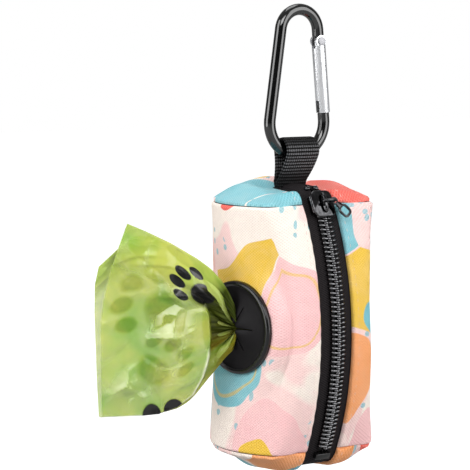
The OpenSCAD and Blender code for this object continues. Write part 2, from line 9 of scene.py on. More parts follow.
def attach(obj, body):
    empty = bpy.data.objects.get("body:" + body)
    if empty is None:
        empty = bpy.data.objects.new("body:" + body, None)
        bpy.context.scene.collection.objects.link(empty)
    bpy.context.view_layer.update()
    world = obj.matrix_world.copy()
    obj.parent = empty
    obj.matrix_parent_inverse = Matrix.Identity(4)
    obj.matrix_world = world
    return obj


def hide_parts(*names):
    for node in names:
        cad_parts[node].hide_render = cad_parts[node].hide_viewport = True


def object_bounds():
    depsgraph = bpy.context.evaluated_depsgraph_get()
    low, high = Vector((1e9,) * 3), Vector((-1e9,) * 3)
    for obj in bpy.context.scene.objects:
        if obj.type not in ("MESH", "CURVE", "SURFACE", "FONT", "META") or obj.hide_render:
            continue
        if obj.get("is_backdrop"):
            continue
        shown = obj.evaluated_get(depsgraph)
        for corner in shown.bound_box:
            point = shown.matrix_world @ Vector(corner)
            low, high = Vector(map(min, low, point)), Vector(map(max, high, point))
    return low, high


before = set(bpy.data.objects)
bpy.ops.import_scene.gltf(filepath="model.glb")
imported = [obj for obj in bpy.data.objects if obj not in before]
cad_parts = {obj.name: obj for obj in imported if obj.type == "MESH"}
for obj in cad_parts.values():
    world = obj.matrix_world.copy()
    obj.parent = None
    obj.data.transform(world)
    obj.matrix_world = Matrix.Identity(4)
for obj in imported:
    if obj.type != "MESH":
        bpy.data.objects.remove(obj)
cad_low, cad_high = (list(p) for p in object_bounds())
MM = 0.001

# ---- sizes, in millimetres, as the solids have them -----------------------------
BAR_D, TOP_R, LOW_R, BOW_GAP, HANG_LEAN = 4.0, 7.5, 11.0, 31.0, 1.5
GATE_TOP, GATE_LEN, TONGUE_T, NOSE_LEN = 4.0, 24.5, 1.7, 3.0
WEB_W, WEB_T, FOLD_R, WEB_BASE_Z, WEB_SKEW = 13.0, 1.2, 3.5, -55.3, 0.25
POUCH_X, POUCH_TURN, MID_Z = -3.0, 1.5, -104.7
POUCH_R, FOOT_R, WALL_H, TOP_RISE, FOOT_RISE, CLOTH_T = 27.5, 28.0, 83.5, 9.8, 7.6, 1.0
RIM_TOP = WALL_H / 2 - 0.25
RIM_LOW = RIM_TOP - WALL_H
WAIST, FLAT_HALF, ROUND_SPAN = 1.2, 9.9, 13.0
TAPE_SHOW, TAPE_W, TAPE_T, TAPE_GAP = 6.5, 9.6, 0.6, 0.5
ZIP_R, ZIP_FRONT, ZIP_Z = 96.2, 26.3, -3.0
ARC_Y = ZIP_R - ZIP_FRONT
PORT_R, PORT_TURN, PORT_Z, PORT_PLANE = 15.8, -78.5, 0.4, 24.6
MEMBRANE_R, MEMBRANE_RISE, SLIT_LEN = 14.5, 1.9, 8.4
ROLL_R = 15.0
SLIT_OUT = PORT_PLANE + CLOTH_T + 2.4
TOOTH_PITCH, COIL_H, COIL_SHIFT = 1.52, 1.9, 0.4
WALL_MM = 0.4712            # millimetres round the wall to a degree
WAVE = 6.283                # one full wave of a mesh's ripples, in radians
TURN, HALF_TURN = 6.28319, 3.14159      # the same for the weaves, in radians
STITCH_AT = 2.3             # topstitching's distance from an edge
PULL_TURN = 50              # how far the pull hangs down from its link, in degrees


def rad(a):
    return a * math.pi / 180


def sin(a):
    return math.sin(rad(a))


def cos(a):
    return math.cos(rad(a))


def asin(x):
    return math.degrees(math.asin(x))


def mix(a, b, t):
    return a + (b - a) * t


ARC_HI, ARC_LO = asin(46 / ZIP_R), asin(40.6 / ZIP_R)
BEND_HI, BEND_LO, END_HI, END_LO = 9.0, 8.0, 88.0, 84.0
SLIDER_AT = asin(43.6 / ZIP_R)
BOW_LEAN = asin((LOW_R - TOP_R) / BOW_GAP)
FEED_TURN = asin((ROLL_R + 0.9) / SLIT_OUT)


# ---- camera, floor and light ----------------------------------------------------
CAMERA_AT, CAMERA_AHEAD = (-0.37762, -0.57650, -0.0028), (0.51813, 0.84889, -0.10453)
CAMERA_LENS, CAMERA_FILM = 154.2, 36
FLOOR_Z, MIDDLE = -0.215, (0, 0, -0.08)
# brightness of the background in mirror rays: behind the object, beside it, in front of it, overhead
BEHIND, BESIDE, IN_FRONT, OVERHEAD = 0.34, 0.12, 0.05, 0.5
FLOOR_GLOSS = 0.25          # share of its white that the floor shows in mirror rays


def put_object(name, data):
    o = bpy.data.objects.new(name, data)
    bpy.context.scene.collection.objects.link(o)
    return o


def make_camera():
    data = bpy.data.cameras.new("camera")
    data.lens, data.sensor_width = CAMERA_LENS, CAMERA_FILM
    cam = put_object("camera", data)
    ahead = Vector(CAMERA_AHEAD).normalized()
    right = ahead.cross(Vector((0, 0, 1))).normalized()
    up = right.cross(ahead)
    turn = Matrix((right, up, -ahead)).transposed().to_4x4()
    cam.matrix_world = Matrix.Translation(CAMERA_AT) @ turn
    data.clip_start, data.clip_end = 0.05, 20
    bpy.context.scene.camera = cam


def add_node(tree, kind, settings=None, inputs=None):
    n = tree.nodes.new(kind)
    for k, v in (settings or {}).items():
        setattr(n, k, v)
    for k, v in (inputs or {}).items():
        if isinstance(v, bpy.types.NodeSocket):
            tree.links.new(v, n.inputs[k])
        else:
            n.inputs[k].default_value = v
    return n


def tree_of(args):
    return next(a.id_data for a in args if isinstance(a, bpy.types.NodeSocket))


def calc(op, *args):
    return add_node(tree_of(args), "ShaderNodeMath", {"operation": op}, dict(enumerate(args))).outputs[0]


def vcalc(op, *args):
    n = add_node(tree_of(args), "ShaderNodeVectorMath", {"operation": op}, dict(enumerate(args)))
    return n.outputs["Value" if op == "DOT_PRODUCT" else "Vector"]


def socket_sign(op, swap=False):
    """What an arithmetic sign does between node sockets: one more Math node."""
    return lambda a, b: calc(op, *((b, a) if swap else (a, b)))


for sign, op in (("add", "ADD"), ("sub", "SUBTRACT"), ("mul", "MULTIPLY"), ("truediv", "DIVIDE"), ("pow", "POWER")):
    setattr(bpy.types.NodeSocket, f"__{sign}__", socket_sign(op))
    setattr(bpy.types.NodeSocket, f"__r{sign}__", socket_sign(op, True))
bpy.types.NodeSocket.__abs__ = lambda a: calc("ABSOLUTE", a)


def xyz_of(v):
    return add_node(v.id_data, "ShaderNodeSeparateXYZ", inputs={0: v}).outputs


def blend(tree, fac, a, b, how="MIX"):
    n = add_node(tree, "ShaderNodeMix", {"data_type": "RGBA", "blend_type": how})
    for k, v in ((0, fac), (6, a), (7, b)):
        if isinstance(v, bpy.types.NodeSocket):
            tree.links.new(v, n.inputs[k])
        else:
            n.inputs[k].default_value = v if k == 0 else (*v[:3], 1)
    return n.outputs[2]


def steps(fac, stops, kind="LINEAR"):
    n = add_node(fac.id_data, "ShaderNodeValToRGB", inputs={0: fac})
    n.color_ramp.interpolation = kind
    el = n.color_ramp.elements
    while len(el) < len(stops):
        el.new(0.5)
    for e, (at, c) in zip(el, stops):
        e.position = at
        e.color = (*c, 1) if hasattr(c, "__len__") else (c, c, c, 1)
    return n.outputs[0]


def rise(fac, low, high):
    """0 up to the low value, 1 from the high one on."""
    return steps(fac, [(low, 0.0), (high, 1.0)])


def fall(fac, low, high):
    return steps(fac, [(low, 1.0), (high, 0.0)])


def srgb(r, g, b):
    return tuple((c / 255 / 12.92) if c <= 10 else ((c / 255 + 0.055) / 1.055) ** 2.4 for c in (r, g, b))


def noise_of(vector, scale, detail=2.0, rough=0.5, warp=0.0):
    return add_node(vector.id_data, "ShaderNodeTexNoise", inputs={
        "Vector": vector, "Scale": scale, "Detail": detail, "Roughness": rough, "Distortion": warp}).outputs


def ray_kinds(t):
    """1 for rays from the camera or through the film, and 1 for mirror rays."""
    rays = add_node(t, "ShaderNodeLightPath").outputs
    return calc("MAXIMUM", rays["Is Camera Ray"], rays["Is Transmission Ray"]), rays["Is Glossy Ray"]


def make_world():
    world = bpy.data.worlds.new("studio")
    bpy.context.scene.world = world
    world.use_nodes = True
    t = world.node_tree
    t.nodes.clear()
    direct, mirrored = ray_kinds(t)
    seen = calc("MAXIMUM", direct, mirrored)
    soft = add_node(t, "ShaderNodeBackground", inputs={0: (0.97, 0.98, 1, 1), 1: 0.38})
    way = add_node(t, "ShaderNodeTexCoord").outputs["Generated"]
    height = xyz_of(way)[2]
    flat = vcalc("NORMALIZE", vcalc("MULTIPLY", way, (1, 1, 0)))
    front = calc("MULTIPLY_ADD", vcalc("DOT_PRODUCT", flat, (-0.52, -0.854, 0)), 0.5, 0.5)
    level = steps(front, [(0.12, BEHIND), (0.36, BESIDE), (0.55, IN_FRONT)])
    level = blend(t, steps(height, [(0.35, 0.0), (0.8, 0.5)]), level, (OVERHEAD,) * 3)
    level = blend(t, direct, level, (1, 1, 1))
    plain = add_node(t, "ShaderNodeBackground", inputs={0: (1, 1, 1, 1), 1: level})
    both = add_node(t, "ShaderNodeMixShader", inputs={0: seen, 1: soft.outputs[0], 2: plain.outputs[0]})
    out = add_node(t, "ShaderNodeOutputWorld")
    t.links.new(both.outputs[0], out.inputs[0])


def make_floor():
    mat = bpy.data.materials.new("studio_floor")
    mat.use_nodes = True
    t = mat.node_tree
    t.nodes.clear()
    direct, mirrored = ray_kinds(t)
    seen = calc("MAXIMUM", direct, mirrored * FLOOR_GLOSS)
    matte = add_node(t, "ShaderNodeBsdfDiffuse", inputs={0: (0.3, 0.3, 0.3, 1)})
    lit = add_node(t, "ShaderNodeEmission", inputs={0: (1, 1, 1, 1), 1: seen * 0.9})
    both = add_node(t, "ShaderNodeAddShader", inputs={0: matte.outputs[0], 1: lit.outputs[0]})
    below = add_node(t, "ShaderNodeNewGeometry").outputs["Backfacing"]      # seen from underneath the floor is clear
    both = add_node(t, "ShaderNodeMixShader", inputs={
        0: below, 1: both.outputs[0], 2: add_node(t, "ShaderNodeBsdfTransparent").outputs[0]})
    out = add_node(t, "ShaderNodeOutputMaterial")
    t.links.new(both.outputs[0], out.inputs[0])
    mesh = bpy.data.meshes.new("studio_floor")
    mesh.from_pydata([(x, y, FLOOR_Z) for x, y in ((-3, -3), (3, -3), (3, 3), (-3, 3))], [], [(0, 1, 2, 3)])
    mesh.materials.append(mat)
    floor = put_object("studio_floor", mesh)
    floor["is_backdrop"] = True


def make_lamps():
    def lamp(name, at, size, power, tall=None):
        data = bpy.data.lights.new(name, "AREA")
        data.shape = "RECTANGLE"
        data.size, data.size_y = size, tall or size
        data.energy = power
        o = put_object(name, data)
        o.location = at
        o.rotation_mode = "QUATERNION"
        o.rotation_quaternion = (Vector(MIDDLE) - Vector(at)).to_track_quat("-Z", "Y")

    lamp("left_box", (-0.99, 0.05, 0.05), 0.66, 10.6, 1.3)
    lamp("right_box", (0.50, -0.86, 0.05), 0.70, 10.2, 1.3)
    lamp("front_box", (-0.50, -0.83, 0.52), 0.7, 5.0, 0.4)
    lamp("top_light", (0.05, 0.1, 0.9), 0.6, 3.0)
    lamp("back_light", (0.5, 0.9, 0.35), 0.6, 2.0)


bpy.context.scene.view_settings.view_transform = "Standard"
make_camera()
make_world()
make_floor()
make_lamps()


# ---- mesh helpers ---------------------------------------------------------------
def piece_from(name, verts, faces, body, uv=None):
    mesh = bpy.data.meshes.new(name)
    verts = np.asarray(verts, float) * MM
    mesh.from_pydata(verts.tolist(), [], [tuple(int(i) for i in f) for f in faces])
    mesh.validate()
    if uv is not None:
        layer = mesh.uv_layers.new(name="cut")
        idx = np.empty(len(mesh.loops), int)
        mesh.loops.foreach_get("vertex_index", idx)
        layer.data.foreach_set("uv", np.asarray(uv, float)[idx].ravel())
    mesh.polygons.foreach_set("use_smooth", [True] * len(mesh.polygons))
    mesh.update()
    o = put_object(name, mesh)
    if body:
        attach(o, body)
    return o


def grid_faces(h, w):
    k = np.arange(h * w).reshape(h, w)
    return stack(k[:-1, :-1], k[:-1, 1:], k[1:, 1:], k[1:, :-1])


def surface_normals(p):
    n = np.cross(np.gradient(p, axis=1), np.gradient(p, axis=0))
    return n / np.maximum(np.linalg.norm(n, axis=2, keepdims=True), 1e-9)


def doubled(quads, m):
    """A sheet's quads, their turned copies m points further on, and the quads that close its open edge."""
    edges = {}
    for q in quads.tolist():
        for a, b in zip(q, q[1:] + q[:1]):
            if (b, a) in edges:
                del edges[(b, a)]
            else:
                edges[(a, b)] = 1
    return quads.tolist() + (quads[:, ::-1] + m).tolist() + [(b, a, a + m, b + m) for a, b in edges]


def hoops(rings, sides, closed=False):
    """Quads between rings of points that follow one another."""
    return [[k * sides + i, k * sides + (i + 1) % sides, (k + 1) % rings * sides + (i + 1) % sides,
             (k + 1) % rings * sides + i] for k in range(rings - (not closed)) for i in range(sides)]


def lids(rings, sides):
    return [list(range(sides))[::-1], [(rings - 1) * sides + i for i in range(sides)]]


def stack(*parts):
    """Numbers and arrays side by side along a last axis."""
    return np.stack(np.broadcast_arrays(*parts), -1)


def run_of(path):
    """Length along a path at each of its points."""
    return np.concatenate([[0], np.cumsum(np.linalg.norm(np.diff(path, axis=0), axis=1))])


def cut_of(back, u, v):
    """The cut's two measures at each kept point of a solid."""
    return stack(u, v).reshape(-1, 2)[back]


def squared_off(x, k):
    return np.sign(x) * np.abs(x) ** k


def cloth_solid(p, outer, inner, keep=None, flip=False):
    """Closed solid between two offsets over a grid of points: points, faces, and the grid index of each point."""
    h, w = p.shape[:2]
    n = surface_normals(p) * (-1 if flip else 1)
    top = p + n * np.asarray(outer)[..., None]
    low = p + n * np.asarray(inner)[..., None]
    keep = np.ones((h - 1, w - 1), bool) if keep is None else keep
    quads = grid_faces(h, w)[keep].reshape(-1, 4)
    if flip:
        quads = quads[:, ::-1]
    m = h * w
    faces = doubled(quads, m)
    verts = np.concatenate([top.reshape(-1, 3), low.reshape(-1, 3)])
    used = np.unique(np.array([i for f in faces for i in f]))
    back = -np.ones(2 * m, int)
    back[used] = np.arange(len(used))
    return verts[used], [[back[i] for i in f] for f in faces], used % m


def edge_distance(p, sides):
    """Distance of each grid point from the named sides, measured along the grid."""
    du = np.concatenate([np.zeros((p.shape[0], 1)), np.cumsum(np.linalg.norm(np.diff(p, axis=1), axis=2), 1)], 1)
    dv = np.concatenate([np.zeros((1, p.shape[1])), np.cumsum(np.linalg.norm(np.diff(p, axis=0), axis=2), 0)], 0)
    found = {"left": du, "right": du[:, -1:] - du, "low": dv, "high": dv[-1:] - dv}
    return np.min([found[s] for s in sides], axis=0)


def rounded(d, r):
    return np.sqrt(np.clip(1 - (1 - np.clip(d / r, 0, 1)) ** 2, 0, 1))


def marks(total, step, fine=(0, 0.08, 0.2, 0.38, 0.6, 0.85, 1.15, 1.5, 1.9, 2.3, 2.7, 3.2)):
    """Positions from 0 to 1 that lie close together near both ends."""
    near = [f for f in fine if f < total / 2]
    n = max(2, int((total - 2 * near[-1]) / step))
    mid = list(np.linspace(near[-1], total - near[-1], n + 1))[1:-1]
    return np.array(near + mid + [total - f for f in near[::-1]]) / total


def at_pouch(p):
    p = np.asarray(p, float)
    c, s = cos(POUCH_TURN), sin(POUCH_TURN)
    return stack(p[..., 0] * c - p[..., 1] * s + POUCH_X, p[..., 0] * s + p[..., 1] * c, p[..., 2] + MID_Z)


def turned(p, axis, angle):
    return np.asarray(p, float) @ np.array(Matrix.Rotation(rad(angle), 3, axis)).T


def at_port(p):
    """From the port's own frame, +Z out of it, to the object's."""
    p = turned(p, "Y", 90) + np.array([PORT_PLANE + CLOTH_T, 0, PORT_Z])
    return at_pouch(turned(p, "Z", PORT_TURN - 90))


def at_zip(p, tilt):
    """From a place on the zip, +X right, +Z up the zip, -Y outward, to the object's frame."""
    p = turned(np.asarray(p, float) + np.array([0, -ZIP_R, 0]), "X", -tilt)
    return at_pouch(p + np.array([0, ARC_Y, ZIP_Z]))


def zip_way(v, tilt):
    """A direction on the zip, in the object's frame."""
    return at_zip(v, tilt) - at_zip((0, 0, 0), tilt)


def in_hook(p):
    return turned(p, "Y", HANG_LEAN)


def tube_along(path, half_w, half_t, across, sides=20, square=2.0):
    """A bar along a path: half widths along 'across' and square to it; square over 2 flattens it."""
    path = np.asarray(path, float)
    n = len(path)
    half_w, half_t = (np.broadcast_to(x, (n,)) for x in (half_w, half_t))
    along = np.gradient(path, axis=0)
    along /= np.linalg.norm(along, axis=1, keepdims=True)
    across = np.broadcast_to(np.asarray(across, float), path.shape)
    across = across - along * np.sum(across * along, 1, keepdims=True)
    across /= np.linalg.norm(across, axis=1, keepdims=True)
    other = np.cross(along, across)
    a = np.arange(sides) / sides * 2 * math.pi
    ca, sa = (squared_off(f(a), 2 / square) for f in (np.cos, np.sin))
    rings = (path[:, None] + across[:, None] * (half_w[:, None] * ca)[..., None]
             + other[:, None] * (half_t[:, None] * sa)[..., None])
    return rings.reshape(-1, 3), hoops(n, sides) + lids(n, sides)


def spun(profile, n):
    """A closed ring of revolution about Z from an outline of [radius, height] points."""
    prof = np.asarray(profile, float)
    a = np.arange(n) / n * 2 * math.pi
    verts = stack(np.outer(np.cos(a), prof[:, 0]), np.outer(np.sin(a), prof[:, 0]), prof[:, 1]).reshape(-1, 3)
    return verts, [[p, s, r, q] for p, q, r, s in hoops(n, len(prof), True)]


def joined(*parts):
    verts, faces, at = [], [], 0
    for v, f in parts:
        verts.append(np.asarray(v, float))
        faces += [[i + at for i in q] for q in f]
        at += len(v)
    return np.concatenate(verts), faces


def tidy_mesh(o, merge=1e-6):
    """Joins doubled points and turns the faces outward."""
    bm = bmesh.new()
    bm.from_mesh(o.data)
    bmesh.ops.remove_doubles(bm, verts=bm.verts, dist=merge)
    bmesh.ops.recalc_face_normals(bm, faces=bm.faces)
    bm.to_mesh(o.data)
    bm.free()
    return o


def sharp_where(o, angle):
    """Smooth shading with sharp edges where faces meet at more than an angle."""
    bm = bmesh.new()
    bm.from_mesh(o.data)
    for e in bm.edges:
        e.smooth = not (len(e.link_faces) == 2 and e.calc_face_angle(0) > rad(angle))
    for f in bm.faces:
        f.smooth = True
    bm.to_mesh(o.data)
    bm.free()
    return o


def bake(o):
    """Takes an object's modifiers up into its mesh."""
    plain = bpy.data.meshes.new_from_object(o.evaluated_get(bpy.context.evaluated_depsgraph_get()))
    o.modifiers.clear()
    o.data = plain
    return plain


def eased_copy(node, name, body, width, angle, segments):
    """A copy of a solid with its corners eased, to stand for it."""
    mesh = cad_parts[node].data.copy()
    mesh.name = name
    mesh.materials.clear()
    o = put_object(name, mesh)
    bm = bmesh.new()
    bm.from_mesh(mesh)
    bmesh.ops.remove_doubles(bm, verts=bm.verts, dist=2e-6)
    bmesh.ops.dissolve_limit(bm, angle_limit=rad(1.0), verts=bm.verts, edges=bm.edges)
    bm.to_mesh(mesh)
    bm.free()
    mod = o.modifiers.new("ease", "BEVEL")
    mod.width, mod.segments, mod.limit_method, mod.angle_limit = width * MM, segments, "ANGLE", rad(angle)
    mod.harden_normals = False
    mod.use_clamp_overlap = True
    bake(o)
    sharp_where(o, 40)
    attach(o, body)
    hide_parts(node)
    return o


# ---- shared shader effects ------------------------------------------------------
def effect(name, ins, outs):
    g = bpy.data.node_groups.new(name, "ShaderNodeTree")
    for n, kind, value in ins:
        s = g.interface.new_socket(name=n, in_out="INPUT", socket_type=kind)
        if value is not None:
            s.default_value = value
    for n, kind in outs:
        g.interface.new_socket(name=n, in_out="OUTPUT", socket_type=kind)
    return g, g.nodes.new("NodeGroupInput").outputs, g.nodes.new("NodeGroupOutput").inputs


FLOAT, VECTOR, COLOR = "NodeSocketFloat", "NodeSocketVector", "NodeSocketColor"


def air_mesh_effect():
    """Small diamond cells of a spacer mesh, in the millimetres of the piece's cut."""
    g, i, o = effect("air_mesh", [("Cut", VECTOR, None), ("Cell width", FLOAT, 1.5), ("Cell height", FLOAT, 1.1),
                                  ("Rows", FLOAT, 0.35)], [("Height", FLOAT), ("Hollow", FLOAT)])
    wob = noise_of(i["Cut"], 0.35, 1.0)["Color"]
    wob = vcalc("MULTIPLY_ADD", wob, (0.5, 0.5, 0.5), (-0.25, -0.25, -0.25))
    v = vcalc("ADD", i["Cut"], wob)
    xyz = xyz_of(v)
    a = xyz[0] * TURN / i["Cell width"]
    b = xyz[1] * TURN / i["Cell height"]
    d1 = calc("COSINE", (a + b) * 0.5)
    d2 = calc("COSINE", (a - b) * 0.5)
    cell = abs(d1) * abs(d2)
    hollow = cell ** 0.8
    rows = abs(calc("SINE", b * 1.5))
    fuzz = noise_of(v, 4.0, 2.0)[0]
    h = 1.0 - hollow + rows * i["Rows"]
    g.links.new(h + fuzz * 0.35, o["Height"])
    g.links.new(hollow, o["Hollow"])
    return g


def rib_weave_effect():
    """Ribs across a tape with finer threads between them."""
    g, i, o = effect("rib_weave", [("Cut", VECTOR, None), ("Rib", FLOAT, 1.2), ("Thread", FLOAT, 0.5),
                                   ("Twill", FLOAT, 0.0)], [("Height", FLOAT), ("Tone_and_crest_light", FLOAT)])
    xyz = xyz_of(i["Cut"])
    y = xyz[1] + xyz[0] * i["Twill"]
    rib = abs(calc("SINE", y * HALF_TURN / i["Rib"]))
    thr = abs(calc("SINE", xyz[0] * HALF_TURN / i["Thread"]))
    fuzz = noise_of(i["Cut"], 3.0, 3.0)[0]
    h = rib ** 0.6 + thr * 0.35
    g.links.new(h + fuzz * 0.3, o["Height"])
    # tone and crest light: paler on the rib crests as a painted highlight, broken up by random fuzz
    g.links.new(rib * (thr + 0.6) * (fuzz + 0.4), o["Tone_and_crest_light"])
    return g


def surface_grain_effect():
    """Fine unevenness and handling marks of a moulded, painted or plated face."""
    g, i, o = effect("surface_grain", [("Place", VECTOR, None), ("Grain", FLOAT, 900.0), ("Marks", FLOAT, 120.0)],
                     [("Height", FLOAT), ("Marks", FLOAT), ("Specks", FLOAT)])
    fine = noise_of(i["Place"], i["Grain"], 3.0)[0]
    soft = noise_of(i["Place"], i["Marks"], 4.0, 0.6, 0.4)[0]
    cells = add_node(g, "ShaderNodeTexVoronoi", inputs={"Vector": i["Place"], "Scale": i["Grain"]}).outputs["Distance"]
    g.links.new(fine, o["Height"])
    g.links.new(rise(soft, 0.42, 0.68), o["Marks"])
    g.links.new(fall(cells, 0.04, 0.12), o["Specks"])
    return g


def edge_rub_effect():
    """Where corners are rubbed: raised edges, broken up by noise."""
    g, i, o = effect("edge_rub", [("Place", VECTOR, None), ("Amount", FLOAT, 0.5), ("Scale", FLOAT, 500.0)],
                     [("Rub", FLOAT)])
    point = add_node(g, "ShaderNodeNewGeometry").outputs["Pointiness"]
    edge = rise(point, 0.51, 0.6)
    patch = rise(noise_of(i["Place"], i["Scale"], 4.0, 0.65)[0], 0.45, 0.6)
    g.links.new(edge * patch * i["Amount"], o["Rub"])
    return g


AIR_MESH, RIB_WEAVE = air_mesh_effect(), rib_weave_effect()
SURFACE_GRAIN, EDGE_RUB = surface_grain_effect(), edge_rub_effect()


def use(tree, group, inputs):
    return add_node(tree, "ShaderNodeGroup", {"node_tree": group}, inputs).outputs


def new_material(name):
    m = bpy.data.materials.new(name)
    m.use_nodes = True
    t = m.node_tree
    t.nodes.clear()
    shader = t.nodes.new("ShaderNodeBsdfPrincipled")
    out = t.nodes.new("ShaderNodeOutputMaterial")
    t.links.new(shader.outputs[0], out.inputs[0])
    return m, t, shader


def wire(shader, **links):
    for k, v in links.items():
        s = shader.inputs[k.replace("_", " ")]
        if isinstance(v, bpy.types.NodeSocket):
            shader.id_data.links.new(v, s)
        else:
            s.default_value = (*v, 1) if hasattr(v, "__len__") and len(v) == 3 and s.type == "RGBA" else v


def bump(height, distance, strength=1.0):
    return add_node(height.id_data, "ShaderNodeBump", inputs={
        "Height": height, "Distance": distance, "Strength": strength}).outputs[0]


def place(t):
    return add_node(t, "ShaderNodeTexCoord").outputs["Object"]


def cut(t):
    """The piece's own cut, in millimetres."""
    return add_node(t, "ShaderNodeUVMap", {"uv_map": "cut"}).outputs[0]


def hard_face(name, colour, wear_and_light, rough, metallic=0.0, spec=0.5, coat=0.0, grain=900.0, marks=120.0, rub=0.5,
              rough_span=0.12, depth=0.000012, tone=0.85):
    m, t, s = new_material(name)
    p = place(t)
    g = use(t, SURFACE_GRAIN, {"Place": p, "Grain": grain, "Marks": marks})
    r = use(t, EDGE_RUB, {"Place": p, "Amount": rub, "Scale": grain * 0.5})
    base = blend(t, g["Marks"], colour, tuple(c * tone for c in colour))
    base = blend(t, g["Specks"] * 0.12, base, wear_and_light)
    base = blend(t, r["Rub"], base, wear_and_light)
    roughness = rough + g["Marks"] * rough_span
    wire(s, Base_Color=base, Roughness=roughness, Metallic=metallic, Specular_IOR_Level=spec, Coat_Weight=coat,
         Normal=bump(g["Height"], depth, 0.6))
    s.inputs["Coat Roughness"].default_value = 0.06
    return m


CREAM, BLUSH, PINK = srgb(253, 240, 229), srgb(252, 224, 217), srgb(250, 197, 198)
ORANGE, CORAL, AQUA = srgb(250, 162, 92), srgb(238, 98, 84), srgb(116, 192, 204)
MUSTARD, NAVY = srgb(238, 194, 52), srgb(34, 38, 74)


def pebble_print_effect():
    """A general print of big round-cornered pebbles, rings and dots, in the millimetres of the cut."""
    g, i, o = effect("pebble_print", [("Cut", VECTOR, None), ("Pebble", FLOAT, 31.0), ("Small pebble", FLOAT, 15.0),
                                      ("Dot", FLOAT, 3.4)], [("Color", COLOR)])
    wob = noise_of(i["Cut"], 0.045, 1.0)["Color"]
    wob = vcalc("MULTIPLY_ADD", wob, (14.0, 14.0, 0), (-7.0, -7.0, 0))
    v = vcalc("ADD", i["Cut"], wob)

    def cells(vector, size, feature, rnd):
        return add_node(g, "ShaderNodeTexVoronoi", {"voronoi_dimensions": "2D", "feature": feature},
                        {"Vector": vector, "Scale": 1.0 / size, "Randomness": rnd}).outputs

    def pebbles(size, rnd, reach, corner):
        near = cells(v, size, "F1", rnd)
        edge = cells(v, size, "DISTANCE_TO_EDGE", rnd)["Distance"]
        blunt = (reach - near["Distance"]) * corner
        inside = calc("SMOOTH_MIN", edge, blunt, 0.16)
        pick = add_node(g, "ShaderNodeSeparateColor", inputs={0: near["Color"]}).outputs
        return inside, pick

    patch = rise(noise_of(i["Cut"], 0.028, 2.0, 0.5, 0.5)[0], 0.47, 0.5)
    ground = blend(g, patch, CREAM, blend(g, 0.6, CREAM, PINK))
    small = cells(v, i["Dot"], "F1", 0.5)
    pick = add_node(g, "ShaderNodeSeparateColor", inputs={0: small["Color"]}).outputs
    dot = fall(small["Distance"], 0.27, 0.33) * rise(pick[0], 0.55, 0.56)
    zone = rise(noise_of(i["Cut"], 0.03, 0.0)[0], 0.5, 0.505)
    ground = blend(g, dot * zone * 0.75, ground, AQUA)

    inside, pick = pebbles(i["Pebble"], 0.7, 0.60, 0.8)
    shape = rise(inside, 0.004, 0.012)
    fill = steps(pick[0], [(0.0, PINK), (0.22, ORANGE), (0.42, BLUSH), (0.5, AQUA), (0.66, CORAL), (0.8, PINK),
                           (0.9, MUSTARD)], "CONSTANT")
    wash = noise_of(i["Cut"], 0.09, 4.0, 0.6, 0.4)[0]
    fill = blend(g, steps(wash, [(0.35, 0.0), (0.75, 0.3)]), fill, blend(g, 0.5, fill, CREAM))
    line = steps(inside, [(0.075, 0.0), (0.082, 1.0), (0.1, 1.0), (0.107, 0.0)])
    lined = line * rise(pick[2], 0.6, 0.61)
    fill = blend(g, lined * 0.6, fill, MUSTARD)
    shown = shape * rise(pick[1], 0.14, 0.15)
    colour = blend(g, shown, ground, fill)

    turned_cut = vcalc("ADD", i["Cut"], (57.0, 23.0, 0.0))
    v = vcalc("ADD", turned_cut, wob)
    inside, pick = pebbles(i["Small pebble"], 0.9, 0.52, 0.8)
    shape = rise(inside, 0.03, 0.045)
    fill = steps(pick[0], [(0.0, AQUA), (0.35, NAVY), (0.5, MUSTARD), (0.75, CORAL), (0.9, CREAM)], "CONSTANT")
    shown = shape * rise(pick[1], 0.84, 0.85)
    g.links.new(blend(g, shown, colour, fill), o["Color"])
    return g


PEBBLE_PRINT = pebble_print_effect()


def print_cloth_finish():
    m, t, s = new_material("printed_mesh_cloth")
    c = cut(t)
    w = use(t, AIR_MESH, {"Cut": c, "Cell width": 1.15, "Cell height": 0.92, "Rows": 0.3})
    shade = use(t, PEBBLE_PRINT, {"Cut": c})["Color"]
    soft = noise_of(c, 0.5, 4.0, 0.6)[0]
    tone = 0.92 + soft * 0.18
    shade = blend(t, 1.0, shade, add_node(t, "ShaderNodeCombineColor", inputs={0: tone, 1: tone, 2: tone}).outputs[0],
                  "MULTIPLY")
    # painted shade: the hollows of the mesh cells are darkened
    hol = rise(w["Hollow"], 0.35, 0.95)
    shade = blend(t, hol * 0.42, shade, blend(t, 1.0, shade, (0.66, 0.58, 0.56), "MULTIPLY"))
    # painted highlight: the raised threads are lifted towards a pale colour
    lift = rise(w["Height"], 0.95, 1.55)
    shade = blend(t, lift * 0.1, shade, (0.96, 0.93, 0.9))
    wire(s, Base_Color=shade, Roughness=0.82, Specular_IOR_Level=0.2, Normal=bump(w["Height"], 0.0002, 0.7))
    s.inputs["Sheen Weight"].default_value = 0.05
    s.inputs["Sheen Roughness"].default_value = 0.45
    s.inputs["Sheen Tint"].default_value = (1, 1, 1, 1)
    return m


def ribbed_finish(name, colour, light, rib, thread, twill=0.0, rough=0.8, spec=0.3, depth=0.0002, low=0.15,
                  wear_and_light=None):
    m, t, s = new_material(name)
    w = use(t, RIB_WEAVE, {"Cut": cut(t), "Rib": rib, "Thread": thread, "Twill": twill})
    # painted highlight: the rib crests are lifted towards the light colour
    tone = rise(w["Tone_and_crest_light"], low, 1.1)
    # painted light: the height stops keep the crest highlight in a band round the top of the loop and dim it above and
    # below
    if wear_and_light:
        high = xyz_of(place(t))[2] * -10.0
        tone = tone * steps(high, wear_and_light)
    wire(s, Base_Color=blend(t, tone, colour, light), Roughness=rough, Specular_IOR_Level=spec,
         Normal=bump(w["Height"], depth, 0.9))
    return m


